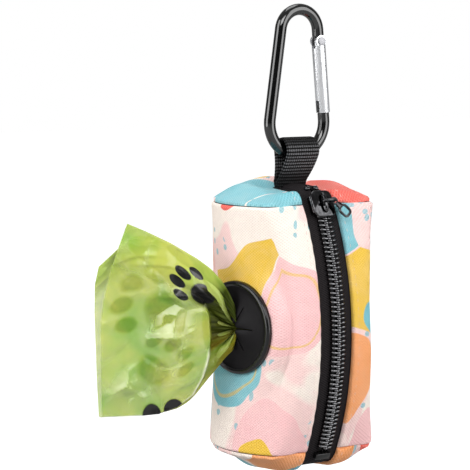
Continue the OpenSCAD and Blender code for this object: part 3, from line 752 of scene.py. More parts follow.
def plain_weave_finish(name, colour, light, pitch):
    """For solids without a cut of their own: the weave lies in the object's own place."""
    m, t, s = new_material(name)
    big = add_node(t, "ShaderNodeMapping", inputs={0: place(t), 3: (1000, 1000, 1000)}).outputs[0]
    xyz = xyz_of(big)
    turn = calc("ARCTAN2", xyz[1], xyz[0] + 3.0) * 26.0
    flat = add_node(t, "ShaderNodeCombineXYZ", inputs={0: turn, 1: xyz[2]}).outputs[0]
    w = use(t, RIB_WEAVE, {"Cut": flat, "Rib": pitch, "Thread": pitch})
    # painted highlight: the weave's crests are lifted towards the light colour
    tone = rise(w["Tone_and_crest_light"], 0.15, 1.1)
    wire(s, Base_Color=blend(t, tone, colour, light), Roughness=0.85, Specular_IOR_Level=0.3,
         Normal=bump(w["Height"], 0.0001, 0.7))
    return m


def paw_effect():
    """A plain paw mark: a pad and four toes, in the millimetres of the cut."""
    g, i, o = effect("paw_mark", [("Cut", VECTOR, None), ("Centre", VECTOR, (0, 0, 0)), ("Turn", FLOAT, 0.0),
                                  ("Size", FLOAT, 6.0), ("Blur", FLOAT, 0.12)], [("Mark", FLOAT)])
    v = vcalc("SUBTRACT", i["Cut"], i["Centre"])
    v = add_node(g, "ShaderNodeVectorRotate", {"rotation_type": "Z_AXIS"},
                 {"Vector": v, "Angle": i["Turn"]}).outputs[0]
    xyz = xyz_of(v)
    x, y = xyz[0] / i["Size"], xyz[1] / i["Size"]
    found = None
    for cx, cy, rx, ry in ((0, -0.22, 0.42, 0.33), (-0.5, 0.2, 0.16, 0.22), (-0.18, 0.45, 0.17, 0.24),
                           (0.18, 0.45, 0.17, 0.24), (0.5, 0.2, 0.16, 0.22)):
        a = (x - cx) / rx
        b = (y - cy) / ry
        d = calc("SQRT", a * a + b * b)
        found = d if found is None else calc("MINIMUM", found, d)
    mark = (1.0 - found) / i["Blur"]
    mark = add_node(g, "ShaderNodeClamp", inputs={0: mark}).outputs[0]
    g.links.new(mark, o["Mark"])
    return g


PAW_MARK = paw_effect()


def crease_effect():
    """Thin wandering ridges of handled film: where two scales of noise cross their middle."""
    g, i, o = effect("film_creases", [("Cut", VECTOR, None), ("Size", FLOAT, 9.0), ("Thinness", FLOAT, 9.0)],
                     [("Ridge", FLOAT)])
    n = noise_of(i["Cut"], 1.0 / i["Size"], 2.0, 0.55, 0.8)[0]
    off = abs(calc("MULTIPLY_ADD", n, 2.0, -1.0))
    g.links.new(calc("MAXIMUM", 1.0 - off * 2.2, 0.0) ** i["Thinness"], o["Ridge"])
    return g


FILM_CREASES = crease_effect()


def film_finish(name, paws, tint, deep, alpha, blur=0.12, paw_colour=(0.004, 0.004, 0.004), paw_share=1.0):
    m, t, s = new_material(name)
    c = cut(t)
    gather = add_node(t, "ShaderNodeAttribute", {"attribute_name": "gather"}).outputs["Fac"]
    lit = add_node(t, "ShaderNodeAttribute", {"attribute_name": "lit"}).outputs["Fac"]
    r1 = use(t, FILM_CREASES, {"Cut": c, "Size": 21.0, "Thinness": 2.6})["Ridge"]
    r2 = use(t, FILM_CREASES, {"Cut": vcalc("ADD", c, (31, 17, 0)), "Size": 8.0, "Thinness": 3.0})["Ridge"]
    where = rise(noise_of(c, 0.06, 1.0)[0], 0.45, 0.62)
    h = r1 * 0.8 + r2 * where * 0.5
    pulled = noise_of(add_node(t, "ShaderNodeMapping", inputs={0: c, 3: (0.04, 0.42, 1)}).outputs[0], 1.0, 2.0)[0]
    h = h + pulled * gather * 0.8
    cloud = noise_of(c, 0.05, 3.0, 0.55, 0.5)[0]
    base = blend(t, rise(cloud, 0.38, 0.62), tint, deep)
    # painted highlight: the finer crease ridges are lightened towards a pale yellow-white
    base = blend(t, r2 * where * 0.35, base, srgb(222, 230, 160))
    # gathered film is darkened: partly the real colour of many plies of film, partly painted shade in its folds,
    # pleats and valley; darker olive higher up, golden lower down
    many = rise(gather, 0.1, 0.62)
    shade = many * steps(pulled, [(0.3, 0.86), (0.6, 1.0)])
    down = xyz_of(c)[1]
    low = rise(down * -0.05, 0.0, 0.6)
    double = steps(down * 0.02, [(0.4, 0.0), (0.56, 0.6)])
    base = blend(t, shade, base, blend(t, low, srgb(40, 46, 0), srgb(108, 94, 0)))
    # painted highlight: the 'lit' attribute lightens the film to near white along the fold edge and on tilted facets
    base = blend(t, lit, base, srgb(244, 249, 214))
    mark = None
    for centre, turn, size in paws:
        k = use(t, PAW_MARK, {"Cut": c, "Centre": (*centre, 0), "Turn": rad(turn), "Size": size, "Blur": blur})["Mark"]
        mark = k if mark is None else calc("MAXIMUM", mark, k)
    mark = (mark if mark is not None else 0.0) * paw_share
    base = blend(t, mark, base, paw_colour)
    # the painted highlights are made more opaque too
    see = calc("MAXIMUM", mark, calc("MAXIMUM", calc("MAXIMUM", many, double), lit * 0.7))
    rough = calc("MULTIPLY_ADD", gather, 0.25, calc("MULTIPLY_ADD", cloud, 0.1, 0.2))
    gloss = 1.0 - many
    wire(s, Base_Color=base, Roughness=rough, Specular_IOR_Level=0.12, Coat_Weight=gloss, Coat_Roughness=0.24,
         Alpha=calc("MULTIPLY_ADD", see, 1.0 - alpha, alpha), Normal=bump(h, 0.0009, 0.7))
    return m


FINISH = {
    "bar": hard_face("black_enamel", (0.0008, 0.0008, 0.0009), (0.05, 0.05, 0.055), 0.09, spec=1.0,
                     grain=1500, marks=160, rub=0.08, rough_span=0.05, depth=0.000002),
    "gate": hard_face("polished_alloy", (0.82, 0.83, 0.85), (0.9, 0.9, 0.92), 0.36, metallic=1.0, grain=500,
                      marks=120, rub=0.1, rough_span=0.03, tone=0.94, depth=0.0000003),
    "steel": hard_face("bright_steel", (0.34, 0.34, 0.355), (0.6, 0.6, 0.62), 0.4, metallic=1.0, grain=1600, rub=0.3,
                       depth=0.000002),
    "zip_metal": hard_face("black_plating", (0.05, 0.05, 0.053), (0.5, 0.5, 0.51), 0.07, metallic=1.0,
                           grain=1800, marks=500, rub=0.3, tone=0.6, rough_span=0.03, depth=0.000003),
    "coil": hard_face("black_coil", (0.15, 0.15, 0.156), (0.4, 0.4, 0.41), 0.11, metallic=1.0, grain=2500,
                      marks=600, rub=0.1, rough_span=0.06, depth=0.000002),
    "port": hard_face("black_moulding", (0.0022, 0.0021, 0.0023), (0.05, 0.05, 0.052), 0.2, spec=0.5, grain=2200,
                      marks=150, rub=0.15, depth=0.00001),
    "rubber": hard_face("black_rubber", (0.0072, 0.0064, 0.0076), (0.04, 0.04, 0.042), 0.42, spec=0.10, grain=3000,
                        marks=130, rub=0.1, depth=0.00002),
    "card": hard_face("kraft_card", srgb(196, 164, 120), srgb(222, 200, 164), 0.85, spec=0.2, grain=700, marks=200,
                      rub=0.5, tone=0.88),
    "thread_black": hard_face("black_thread", (0.008, 0.008, 0.0085), (0.03, 0.03, 0.03), 0.7, spec=0.1, grain=4000),
    "thread_pale": hard_face("pale_thread", srgb(232, 202, 194), srgb(240, 222, 214), 0.75, spec=0.2, grain=4000),
    "print": print_cloth_finish(),
    # webbing: only the rib crests are painted lighter, and only in a band round the top of the loop: painted
    # highlights
    "webbing": ribbed_finish("black_webbing", (0.0008, 0.0008, 0.0009), (0.13, 0.13, 0.135), 1.12, 0.9, rough=0.6,
                             spec=0.12, depth=0.0002, low=0.66,
                             wear_and_light=[(0.43, 0.2), (0.45, 1.0), (0.51, 1.0), (0.55, 0.15)]),
    "tape": ribbed_finish("zip_tape_weave", (0.0020, 0.0018, 0.0020), (0.024, 0.0205, 0.022), 0.8, 0.55, 0.6,
                          spec=0.10, depth=0.0001),
    "lining": plain_weave_finish("lining_weave", srgb(58, 58, 62), srgb(86, 86, 90), 0.7),
    "binding": plain_weave_finish("binding_weave", srgb(30, 30, 32), srgb(52, 52, 55), 0.9),
    "wound_film": hard_face("wound_film", srgb(136, 170, 56), srgb(196, 216, 120), 0.3, spec=0.5, coat=0.2, grain=1500,
                            marks=90, rub=0.1),
}


def dress(o, finish):
    o.data.materials.clear()
    o.data.materials.append(FINISH[finish])
    return o


for node_name, finish_name in {
        "gate_plunger": "steel", "gate_spring": "steel", "wall_lining": "lining", "top_lining": "lining",
        "bottom_lining": "lining", "top_seam_binding": "binding", "bottom_seam_binding": "binding",
        "roll_core": "card", "roll_film": "wound_film"}.items():
    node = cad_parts[node_name]
    for node_slot in node.material_slots:
        node_slot.material = FINISH[finish_name]
    if not node.material_slots:
        node.data.materials.append(FINISH[finish_name])


# ---- rows of small pieces -------------------------------------------------------
def row_tree():
    """Puts a small piece on every point, turned to the point's own directions."""
    g = bpy.data.node_groups.new("row_of_pieces", "GeometryNodeTree")
    keys = {}
    for n, kind, value in (("Geometry", "NodeSocketGeometry", None), ("Piece", "NodeSocketObject", None),
                           ("Size", FLOAT, 1.0), ("Jitter", FLOAT, 0.03), ("Seed", "NodeSocketInt", 1),
                           ("Finish", "NodeSocketMaterial", None)):
        s = g.interface.new_socket(name=n, in_out="INPUT", socket_type=kind)
        keys[n] = s.identifier
        if value is not None:
            s.default_value = value
    g.interface.new_socket(name="Geometry", in_out="OUTPUT", socket_type="NodeSocketGeometry")
    i, o = g.nodes.new("NodeGroupInput").outputs, g.nodes.new("NodeGroupOutput").inputs

    def direction(name):
        return add_node(g, "GeometryNodeInputNamedAttribute", {"data_type": "FLOAT_VECTOR"}, {0: name}).outputs[0]

    turn = add_node(g, "FunctionNodeAlignRotationToVector", {"axis": "Z"}, {"Vector": direction("along")}).outputs[0]
    turn = add_node(g, "FunctionNodeAlignRotationToVector", {"axis": "Y", "pivot_axis": "Z"},
                    {"Rotation": turn, "Vector": direction("outward")}).outputs[0]
    low, high = (1.0 - i["Jitter"], 1.0 + i["Jitter"])
    rand = add_node(g, "FunctionNodeRandomValue", {"data_type": "FLOAT"}, {2: low, 3: high, 8: i["Seed"]}).outputs[1]
    size = rand * i["Size"]
    piece = add_node(g, "GeometryNodeObjectInfo", inputs={"Object": i["Piece"]}).outputs["Geometry"]
    put = add_node(g, "GeometryNodeInstanceOnPoints",
                   inputs={"Points": i["Geometry"], "Instance": piece, "Rotation": turn, "Scale": size}).outputs[0]
    real = add_node(g, "GeometryNodeRealizeInstances", inputs={0: put}).outputs[0]
    done = add_node(g, "GeometryNodeSetMaterial", inputs={"Geometry": real, "Material": i["Finish"]}).outputs[0]
    g.links.new(done, o[0])
    return g, keys


ROW_TREE, ROW_KEYS = row_tree()


def row_of(name, unit, spots, finish, body, seed, jitter=0.03):
    """One mesh of a unit piece at every spot: (place, along, outward), in millimetres."""
    holder = piece_from(name + "_unit", unit[0], unit[1], None)
    places, along, outward = (np.array([s[k] for s in spots], float) for k in range(3))
    mesh = bpy.data.meshes.new(name + "_points")
    mesh.from_pydata((places * MM).tolist(), [], [])
    for key, values in (("along", along), ("outward", outward)):
        mesh.attributes.new(key, "FLOAT_VECTOR", "POINT").data.foreach_set("vector", values.ravel())
    o = put_object(name, mesh)
    mod = o.modifiers.new("row", "NODES")
    mod.node_group = ROW_TREE
    for key, value in (("Piece", holder), ("Size", 1.0), ("Jitter", jitter), ("Seed", seed),
                       ("Finish", FINISH[finish])):
        mod[ROW_KEYS[key]] = value
    plain = bake(o)
    bpy.data.objects.remove(holder)
    plain.polygons.foreach_set("use_smooth", [True] * len(plain.polygons))
    if not plain.materials:
        plain.materials.append(FINISH[finish])
    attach(o, body)
    return o


def stitch_unit(length, radius):
    z = np.array([-0.5, -0.42, -0.2, 0.2, 0.42, 0.5]) * length
    dip = np.array([-0.32, -0.08, 0.03, 0.03, -0.08, -0.32])
    r = np.array([0.5, 0.9, 1.0, 1.0, 0.9, 0.5]) * radius
    return tube_along(stack(0, dip, z), r, r * 0.85, (1, 0, 0), 6)


def frames_along(path, outward, pitch, start=0.0, end=0.0):
    """Evenly spaced spots on a path, each with the path's direction and an outward direction."""
    path, outward = np.asarray(path, float), np.asarray(outward, float)
    run = run_of(path)
    count = max(1, int((run[-1] - start - end) / pitch))
    spots = []
    for k in range(count):
        s = start + (k + 0.5) * (run[-1] - start - end) / count

        def at(values, d=0.0):
            return np.array([np.interp(s + d, run, values[:, c]) for c in range(3)])
        along = at(path, 0.05) - at(path, -0.05)
        along /= np.linalg.norm(along)
        out = at(outward)
        out -= along * out.dot(along)
        spots.append((at(path), along, out / np.linalg.norm(out)))
    return spots


# ---- the pouch's surface --------------------------------------------------------
def on_arc(cy, cz, r, tilt):
    t = np.radians(tilt)
    return stack(cy - r * np.cos(t), cz + r * np.sin(t), np.broadcast_to(tilt, np.shape(t)))


def smooth(x):
    t = np.clip(x, 0, 1)
    return t * t * (3 - 2 * t)


HI_END, LO_END = on_arc(ARC_Y, ZIP_Z, ZIP_R, ARC_HI), on_arc(ARC_Y, ZIP_Z, ZIP_R, -ARC_LO)
HI_C = np.array([HI_END[0] + BEND_HI * cos(ARC_HI), HI_END[1] - BEND_HI * sin(ARC_HI)])
LO_C = np.array([LO_END[0] + BEND_LO * cos(ARC_LO), LO_END[1] + BEND_LO * sin(ARC_LO)])
HI_FLAT, LO_FLAT = on_arc(*HI_C, BEND_HI, END_HI), on_arc(*LO_C, BEND_LO, -END_LO)


def zip_y(z):
    return np.sqrt(ZIP_R ** 2 - (z - ZIP_Z) ** 2) - ARC_Y


def tape_top(y):
    flat = HI_FLAT[1] + (y - HI_FLAT[0]) / math.tan(rad(END_HI))
    bend = HI_C[1] + np.sqrt(np.maximum(0, BEND_HI ** 2 - (y - HI_C[0]) ** 2))
    arc = ZIP_Z + np.sqrt(np.maximum(0, ZIP_R ** 2 - (ARC_Y - y) ** 2))
    return np.where(y > HI_FLAT[0], flat, np.where(y > HI_END[0], bend, arc))


def tape_low(y):
    flat = LO_FLAT[1] - (y - LO_FLAT[0]) / math.tan(rad(END_LO))
    bend = LO_C[1] - np.sqrt(np.maximum(0, BEND_LO ** 2 - (y - LO_C[0]) ** 2))
    arc = ZIP_Z - np.sqrt(np.maximum(0, ZIP_R ** 2 - (ARC_Y - y) ** 2))
    return np.where(y > LO_FLAT[0], flat, np.where(y > LO_END[0], bend, arc))


def sag(y):
    return 3.4 * smooth((y - HI_END[0]) / 6)


def off_front(a):
    m = np.mod(a, 360)
    return np.where(m > 180, 360 - m, m)


def side_r(z):
    return mix(FOOT_R, POUCH_R, (z - RIM_LOW) / WALL_H) - CLOTH_T - WAIST * (1 - (z / (WALL_H / 2)) ** 2)


def front_r(a, z):
    d = off_front(a)
    t = np.radians(np.minimum(d, 80))
    f = np.where(d < 80, smooth((zip_y(z) * np.tan(t) - FLAT_HALF) / ROUND_SPAN), 1)
    return mix(zip_y(z) / np.cos(t), side_r(z), f)


def wall_r(a, z):
    d = off_front(a - PORT_TURN)
    t = np.radians(np.minimum(d, 70))
    s = np.where(d < 70, np.hypot(PORT_PLANE * np.tan(t), z - PORT_Z), 99)
    w = 1 - smooth((s - PORT_R - 0.9) / 8.5)
    return mix(front_r(a, z), np.where(w > 0, PORT_PLANE / np.cos(t), front_r(a, z)), w)


def round_point(a, r, z):
    t = np.radians(a)
    return stack(r * np.sin(t), -r * np.cos(t), z)


def edge_turn(z, half):
    return np.degrees(np.arctan(half / zip_y(z)))


def dome(x, y, rim, rise, front_share):
    a = np.degrees(np.arctan2(x, -y))
    share = mix(front_share, 1, smooth((off_front(a) - 35) / 75))
    q = np.minimum(1, np.hypot(x, y) / wall_r(a, rim))
    return rise * share * (1 - q * q)


def top_z(x, y):
    near = (1 - smooth((np.abs(x) - FLAT_HALF) / 9)) * (1 - smooth((y - 8) / 9))
    return mix(RIM_TOP + dome(x, y, RIM_TOP, TOP_RISE, 0.45), tape_top(y) - sag(y), near)


def low_z(x, y):
    near = (1 - smooth((np.abs(x) - FLAT_HALF) / 9)) * (1 - smooth((y - 7) / 9))
    return mix(RIM_LOW - dome(x, y, RIM_LOW, FOOT_RISE, 1), tape_low(y), near)


def soft_noise(x, y, seed, low, high):
    """Smooth unevenness of about one millimetre height: waves between two lengths, in set directions."""
    rng, count, total = np.random.default_rng(seed), 7, 0
    for _ in range(count):
        length, turn, phase = rng.uniform(low, high), rng.uniform(0, math.pi), rng.uniform(0, 6.28)
        total = total + np.sin((x * math.cos(turn) + y * math.sin(turn)) * WAVE / length + phase)
    return total / count ** 0.5 / 1.6


def hem_profile(d):
    """Extra height of a folded and topstitched edge, by distance from it."""
    return (0.32 * smooth((3.6 - d) / 1.0) - 0.26 * np.exp(-((d - STITCH_AT) / 0.42) ** 2))


def make_wall_cloth():
    u = marks(157.0, 1.25)
    v = marks(WALL_H - 0.4, 1.2, (0, 0.1, 0.25, 0.5, 0.8, 1.2, 1.7, 2.3))
    z = (RIM_LOW + 0.2 + v * (WALL_H - 0.4))[:, None] + 0 * u[None]
    e = edge_turn(z, TAPE_SHOW)
    a = mix(e, 360 - e, u[None])
    p = round_point(a, wall_r(a, z), z)
    zip_d = edge_distance(p, ("left", "right"))
    rim_d = edge_distance(p, ("low", "high"))
    along = (a - 180) * WALL_MM
    ripple = soft_noise(along, z * 0.6, 11, 14, 34) * 0.26 * smooth(zip_d / 6)
    pucker = 0.16 * np.sin(z * WAVE / 5.3 + 1.4 * np.sin(z * 0.21)) * np.exp(-zip_d / 3.2)
    gather = 0.15 * np.sin(along * WAVE / 6.1 + 1.7 * np.sin(along * 0.13)) * np.exp(-rim_d / 3.0)
    port_d = np.hypot(PORT_PLANE * np.tan(np.radians(np.minimum(off_front(a - PORT_TURN), 70))), z - PORT_Z)
    port_d = np.where(off_front(a - PORT_TURN) < 70, port_d, 99)
    calm = smooth((port_d - 17.5) / 5)
    swell = 0.22 * np.exp(-((port_d - 19.5) / 2.6) ** 2)
    top = CLOTH_T + (ripple + pucker + gather) * calm + hem_profile(zip_d) * smooth(rim_d / 1.5) + swell * calm
    top = np.minimum(top, CLOTH_T + 0.55)
    soft = np.minimum(rounded(zip_d, 0.9), rounded(rim_d, 0.9))
    top = 0.06 + (top - 0.06) * soft
    top = np.where(port_d < 17.2, np.minimum(top, CLOTH_T + 0.01), top)
    low = 0.05 + 0 * top
    centre = (port_d[:-1, :-1] + port_d[1:, 1:] + port_d[1:, :-1] + port_d[:-1, 1:]) / 4
    verts, faces, back = cloth_solid(p, top, low, centre > 14.75)
    uv = cut_of(back, along, z)
    o = piece_from("wall_cloth", at_pouch(verts), faces, "pouch", uv)
    dress(o, "print")
    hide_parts("wall_panel")
    return p, top


def cap_points(rim, back_y, up):
    u = marks(168.0, 1.35, (0, 0.1, 0.25, 0.5, 0.9, 1.4, 2.0, 2.7, 3.4))
    v = marks(24.0, 0.95, (0, 0.1, 0.25, 0.5, 0.8, 1.2, 1.7, 2.3))
    e = edge_turn(rim, TAPE_SHOW)
    a = mix(e, 360 - e, u)
    b = np.radians(90 + 180 * u)
    r = wall_r(a, rim)
    p = stack(TAPE_SHOW * np.sin(b), back_y - TAPE_SHOW * np.cos(b))
    q = stack(r * np.sin(np.radians(a)), -r * np.cos(np.radians(a)))
    share = ((1 - v) ** 0.85)[:, None, None]
    m = mix(p[None], q[None], share)
    m[:, 0, 0], m[:, -1, 0] = TAPE_SHOW, -TAPE_SHOW
    z = (top_z if up else low_z)(m[..., 0], m[..., 1])
    return np.concatenate([m, z[..., None]], -1)


def make_cap(name, node, rim, back_y, up, shift, seed):
    p = cap_points(rim, back_y, up)
    zip_d = edge_distance(p, ("left", "right", "high"))
    rim_d = edge_distance(p, ("low",))
    ripple = soft_noise(p[..., 0], p[..., 1], seed, 9, 22) * 0.3 * smooth(zip_d / 5) * smooth(rim_d / 4)
    a = np.degrees(np.arctan2(p[..., 0], -p[..., 1]))
    gather = 0.2 * np.sin(a * WALL_MM * WAVE / 4.7 + 1.3 * np.sin(a * 0.1)) * np.exp(-rim_d / 2.6)
    top = CLOTH_T + ripple + gather + hem_profile(zip_d) * smooth(rim_d / 1.5)
    soft = np.minimum(rounded(zip_d, 0.9), rounded(rim_d, 0.9))
    top = 0.06 + (top - 0.06) * soft
    verts, faces, back = cloth_solid(p, top, 0.05 + 0 * top, flip=not up)
    uv = (p[..., :2] + np.array(shift)).reshape(-1, 2)[back]
    o = piece_from(name, at_pouch(verts), faces, "pouch", uv)
    dress(o, "print")
    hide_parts(node)
    return p, top


WALL_GRID, WALL_TOP = make_wall_cloth()
TOP_GRID, TOP_TOP = make_cap("top_cloth", "top_panel", RIM_TOP, -1, True, (120, 40), 21)
LOW_GRID, LOW_TOP = make_cap("bottom_cloth", "bottom_panel", RIM_LOW, -3, False, (-140, -60), 22)


# ---- zip ------------------------------------------------------------------------
def zip_line(step):
    """[y, z, tilt] down the middle of the zip, from the webbing over the front to the foot."""
    def count(length):
        return max(2, int(length / step))
    d = np.linspace(14, 0, count(14), endpoint=False)[:, None]
    top = HI_FLAT + d * np.array([sin(END_HI), cos(END_HI), 0])
    k = np.linspace(0, 1, count(BEND_HI * rad(END_HI - ARC_HI)), endpoint=False)
    bend = on_arc(*HI_C, BEND_HI, mix(END_HI, ARC_HI, k))
    k = np.linspace(0, 1, count(ZIP_R * rad(ARC_HI + ARC_LO)), endpoint=False)
    arc = on_arc(ARC_Y, ZIP_Z, ZIP_R, mix(ARC_HI, -ARC_LO, k))
    k = np.linspace(0, 1, count(BEND_LO * rad(END_LO - ARC_LO)), endpoint=False)
    foot = on_arc(*LO_C, BEND_LO, -mix(ARC_LO, END_LO, k))
    d = np.linspace(0, 14, count(14))[:, None]
    low = LO_FLAT + d * np.array([sin(END_LO), -cos(END_LO), 0])
    return np.concatenate([top, bend, arc, foot, low])


def make_tape(side, name):
    line = zip_line(0.9)
    across = np.array([TAPE_GAP, 0.62, 0.9, 1.5, 2.4, 3.3, 3.75, 4.1, 4.5, 5.2, 6.0, TAPE_SHOW, 7.4, 8.5, 9.3, TAPE_W])
    share = np.interp(across, [TAPE_GAP, 3.3, TAPE_SHOW, TAPE_W], [0, 0.18, 1, 1])
    drop = np.interp(across, [TAPE_GAP, 3.3, TAPE_SHOW, TAPE_W], [0, 0, 0.15, 0.8])
    y, z, tilt = (line[:, k][:, None] for k in range(3))
    t = np.radians(tilt)
    fall = np.where(z > 0, sag(y), 0) * mix(share[None], 1, smooth((y + 1) / 4))
    run = run_of(line[:, :2])
    below = 13 + BEND_LO * rad(END_LO - ARC_LO) - (run[-1] - run)       # past the bottom stop the two edges meet
    shut = (TAPE_GAP - 0.02) * smooth(below / 2.0)[:, None] * np.clip(1 - (across - TAPE_GAP) / 1.2, 0, 1)[None]
    p = stack(side * (across[None] - shut), y + drop * np.cos(t), z - drop * np.sin(t) - fall)
    if side > 0:
        p = p[:, ::-1]
    w = across[::-1] if side > 0 else across
    ridge = 0.10 * np.exp(-((w - 4.1) / 0.28) ** 2) - 0.05 * np.exp(-((w - 3.75) / 0.2) ** 2)
    top = 0.0 + ridge[None] + 0 * y - 0.12 * (1 - rounded(w - TAPE_GAP, 0.4))[None]
    verts, faces, back = cloth_solid(p, top, -TAPE_T + 0 * top)
    uv = cut_of(back, w[None], run[:, None])
    o = piece_from(name + "_cloth", at_pouch(verts), faces, "pouch", uv)
    dress(o, "tape")
    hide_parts(name)
    return o


def tooth_unit(side):
    """One turn of the coil: a strand from the tape's edge over to its head in the middle."""
    x = np.array([2.5, 2.55, 2.4, 1.95, 1.3, 0.6, 0.1, -0.28, -0.48, -0.42])
    h = np.array([0.10, 0.74, 1.34, 1.56, 1.46, 1.58, 1.80, 1.62, 1.0, 0.35])
    z = np.array([0.30, 0.26, 0.20, 0.12, 0.04, -0.02, -0.04, -0.03, 0.0, 0.0])
    w = np.array([0.30, 0.36, 0.40, 0.40, 0.38, 0.38, 0.42, 0.46, 0.44, 0.36])
    t = np.array([0.26, 0.28, 0.30, 0.30, 0.30, 0.31, 0.34, 0.36, 0.36, 0.30])
    return tube_along(stack(side * x, h, z), w, t, (0, 0, 1), 8)


def make_coil(side, name):
    turn = TOOTH_PITCH / ZIP_R * 180 / math.pi
    first = SLIDER_AT - 0.6 - (0 if side > 0 else turn / 2)
    spots = []
    for k in range(int((first + ARC_LO - 1.2) / turn)):
        tilt = first - (k + 0.5) * turn
        spots.append((at_zip((COIL_SHIFT, 0, 0), tilt), zip_way((0, 0, 1), tilt), zip_way((0, -1, 0), tilt)))
    flip = tooth_unit(-side)
    o = row_of(name + "_teeth", (flip[0], [f[::-1] for f in flip[1]] if side > 0 else flip[1]), spots, "coil", "pouch",
               jitter=0.015, seed=4 + side)
    tidy_mesh(o, 1e-7)
    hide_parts(name)
    a = np.linspace(first + 0.3, -ARC_LO + 1.4, 90)
    cord = np.stack([np.array(at_zip((side * 1.7 + COIL_SHIFT, -0.62, 0), t)) for t in a])
    verts, faces = tube_along(cord, 0.75, 0.5, zip_way((1, 0, 0), 0), 10)
    c = piece_from(name + "_cord", verts, faces, "pouch")
    dress(c, "thread_black")


make_tape(-1, "zip_tape_left")
make_tape(1, "zip_tape_right")
make_coil(-1, "zip_coil_left")
make_coil(1, "zip_coil_right")


def rounded_plate(w, l, low_y, high_y, ease=0.25, n=40):
    """A plate across -Y with a rounded outline and eased edges."""
    t = np.arange(n) / n * 2 * math.pi
    ox, oz = (squared_off(f(t), 2.0 / 4.2) for f in (np.cos, np.sin))
    rings = [stack((w / 2 - inset) * ox, -y, (l / 2 - inset) * oz) for y, inset in (
        (low_y, ease), (low_y + ease * 0.3, ease * 0.3), (low_y + ease, 0), (high_y - ease, 0),
        (high_y - ease * 0.3, ease * 0.3), (high_y, ease))]
    return np.concatenate(rings), hoops(len(rings), n) + lids(len(rings), n)


def ring_tube(path, r, across, sides=14):
    """A closed loop of round wire."""
    path = np.asarray(path, float)
    n = len(path)
    along = np.roll(path, -1, 0) - np.roll(path, 1, 0)
    along /= np.linalg.norm(along, axis=1, keepdims=True)
    side = np.broadcast_to(np.asarray(across, float), path.shape)
    other = np.cross(along, side)
    a = np.arange(sides) / sides * 2 * math.pi
    rings = path[:, None] + (side[:, None] * np.cos(a)[None, :, None] + other[:, None] * np.sin(a)[None, :, None]) * r
    return rings.reshape(-1, 3), hoops(n, sides, True)


def make_slider():
    deck, plate, gauge = COIL_H + 0.45, 0.9, 0.9
    high = deck + plate + 1.65
    t = np.radians(np.linspace(-90, 90, 24))
    arch = stack(0, -(deck + 0.45 + (high - deck - 0.45) * np.cos(t) ** 0.45), 3.1 * np.sin(t))
    body = joined(
        rounded_plate(8.6, 9.4, deck, deck + plate, 0.32),
        rounded_plate(7.4, 8.4, -TAPE_T - 0.45 - plate, -TAPE_T - 0.45, 0.25),
        rounded_plate(0.78, 2.6, -TAPE_T - 0.6, deck + 0.2, 0.12, 24),
        tube_along(arch, 0.62, 0.45, (1, 0, 0), 14),
        *[tube_along(np.array([[x, -deck + 0.85, -2.9], [x, -deck + 0.85, -2.5], [x, -deck + 0.85, 2.5],
                               [x, -deck + 0.85, 2.9]]), np.array([0.3, 0.4, 0.4, 0.3]), 0.95, (1, 0, 0), 14, 4.0)
          for x in (-3.9, 3.9)])
    verts, faces = body
    o = piece_from("slider_shell", at_zip(verts, SLIDER_AT), faces, "slider")
    sharp_where(tidy_mesh(o, 1e-7), 55)
    dress(o, "zip_metal")
    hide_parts("slider_body")

    a = np.radians(np.arange(0, 360, 10))
    r, reach = 1.1, 2.4
    loop = stack(np.where(np.cos(a) > 0, reach, 0) + r * np.cos(a), r * np.sin(a) - high, 0)
    verts, faces = ring_tube(loop, gauge / 2, (0, 0, 1))
    o = piece_from("pull_ring", at_zip(verts, SLIDER_AT), faces, "link")
    tidy_mesh(o, 1e-7)
    dress(o, "zip_metal")
    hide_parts("pull_link")

    # flat pull: an eye, a short neck and an open stirrup, in its own plane
    thick = 0.8
    a = np.radians(np.arange(0, 360, 12))
    eye = stack(1.08 * np.cos(a), 0, 1.08 * np.sin(a))
    box = stack(4.9 + 1.9 * squared_off(np.cos(a), 2 / 3.4), 0, 1.7 * squared_off(np.sin(a), 2 / 3.4))
    neck = np.array([[1.15, 0, 0], [1.5, 0, 0], [2.1, 0, 0], [2.7, 0, 0], [3.1, 0, 0]])
    parts = joined(ring_tube(eye, 0.32, (0, 1, 0)), ring_tube(box, 0.45, (0, 1, 0)),
                   tube_along(neck, thick / 2, np.array([0.7, 0.95, 1.05, 1.25, 1.3]), (0, 1, 0), 16, 3.5))
    verts = turned(parts[0], "Y", PULL_TURN) + np.array([reach + r, -high, 0])
    o = piece_from("pull_tab", at_zip(verts, SLIDER_AT), parts[1], "pull")
    sharp_where(tidy_mesh(o, 1e-7), 60)
    dress(o, "zip_metal")
    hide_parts("slider_pull")


make_slider()
dress(eased_copy("zip_bottom_stop", "zip_bottom_stop_metal", "pouch", 0.3, 35, 3), "port")


def make_top_stops():
    y, z, tilt = on_arc(*HI_C, BEND_HI, mix(ARC_HI, END_HI, 0.5))
    clip, clip_faces = rounded_plate(1.9, 1.7, -0.3, 0.85, 0.3, 28)
    verts, faces = joined(*[(clip + np.array([side * 1.7, 0, 0]), clip_faces) for side in (-1, 1)])
    o = piece_from("zip_top_stops_metal", at_pouch(turned(verts, "X", -tilt) + np.array([0, y, z])), faces, "pouch")
    sharp_where(tidy_mesh(o, 1e-7), 55)
    dress(o, "zip_metal")
    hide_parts("zip_top_stops")


make_top_stops()


def cloth_line(grid, top, rows, cols):
    """Points on a cloth's outer face and its outward directions, along grid rows or columns."""
    n = surface_normals(grid)
    p = grid + n * top[..., None]
    return at_pouch(p[rows, cols]), at_pouch(n[rows, cols]) - at_pouch(np.zeros(3))


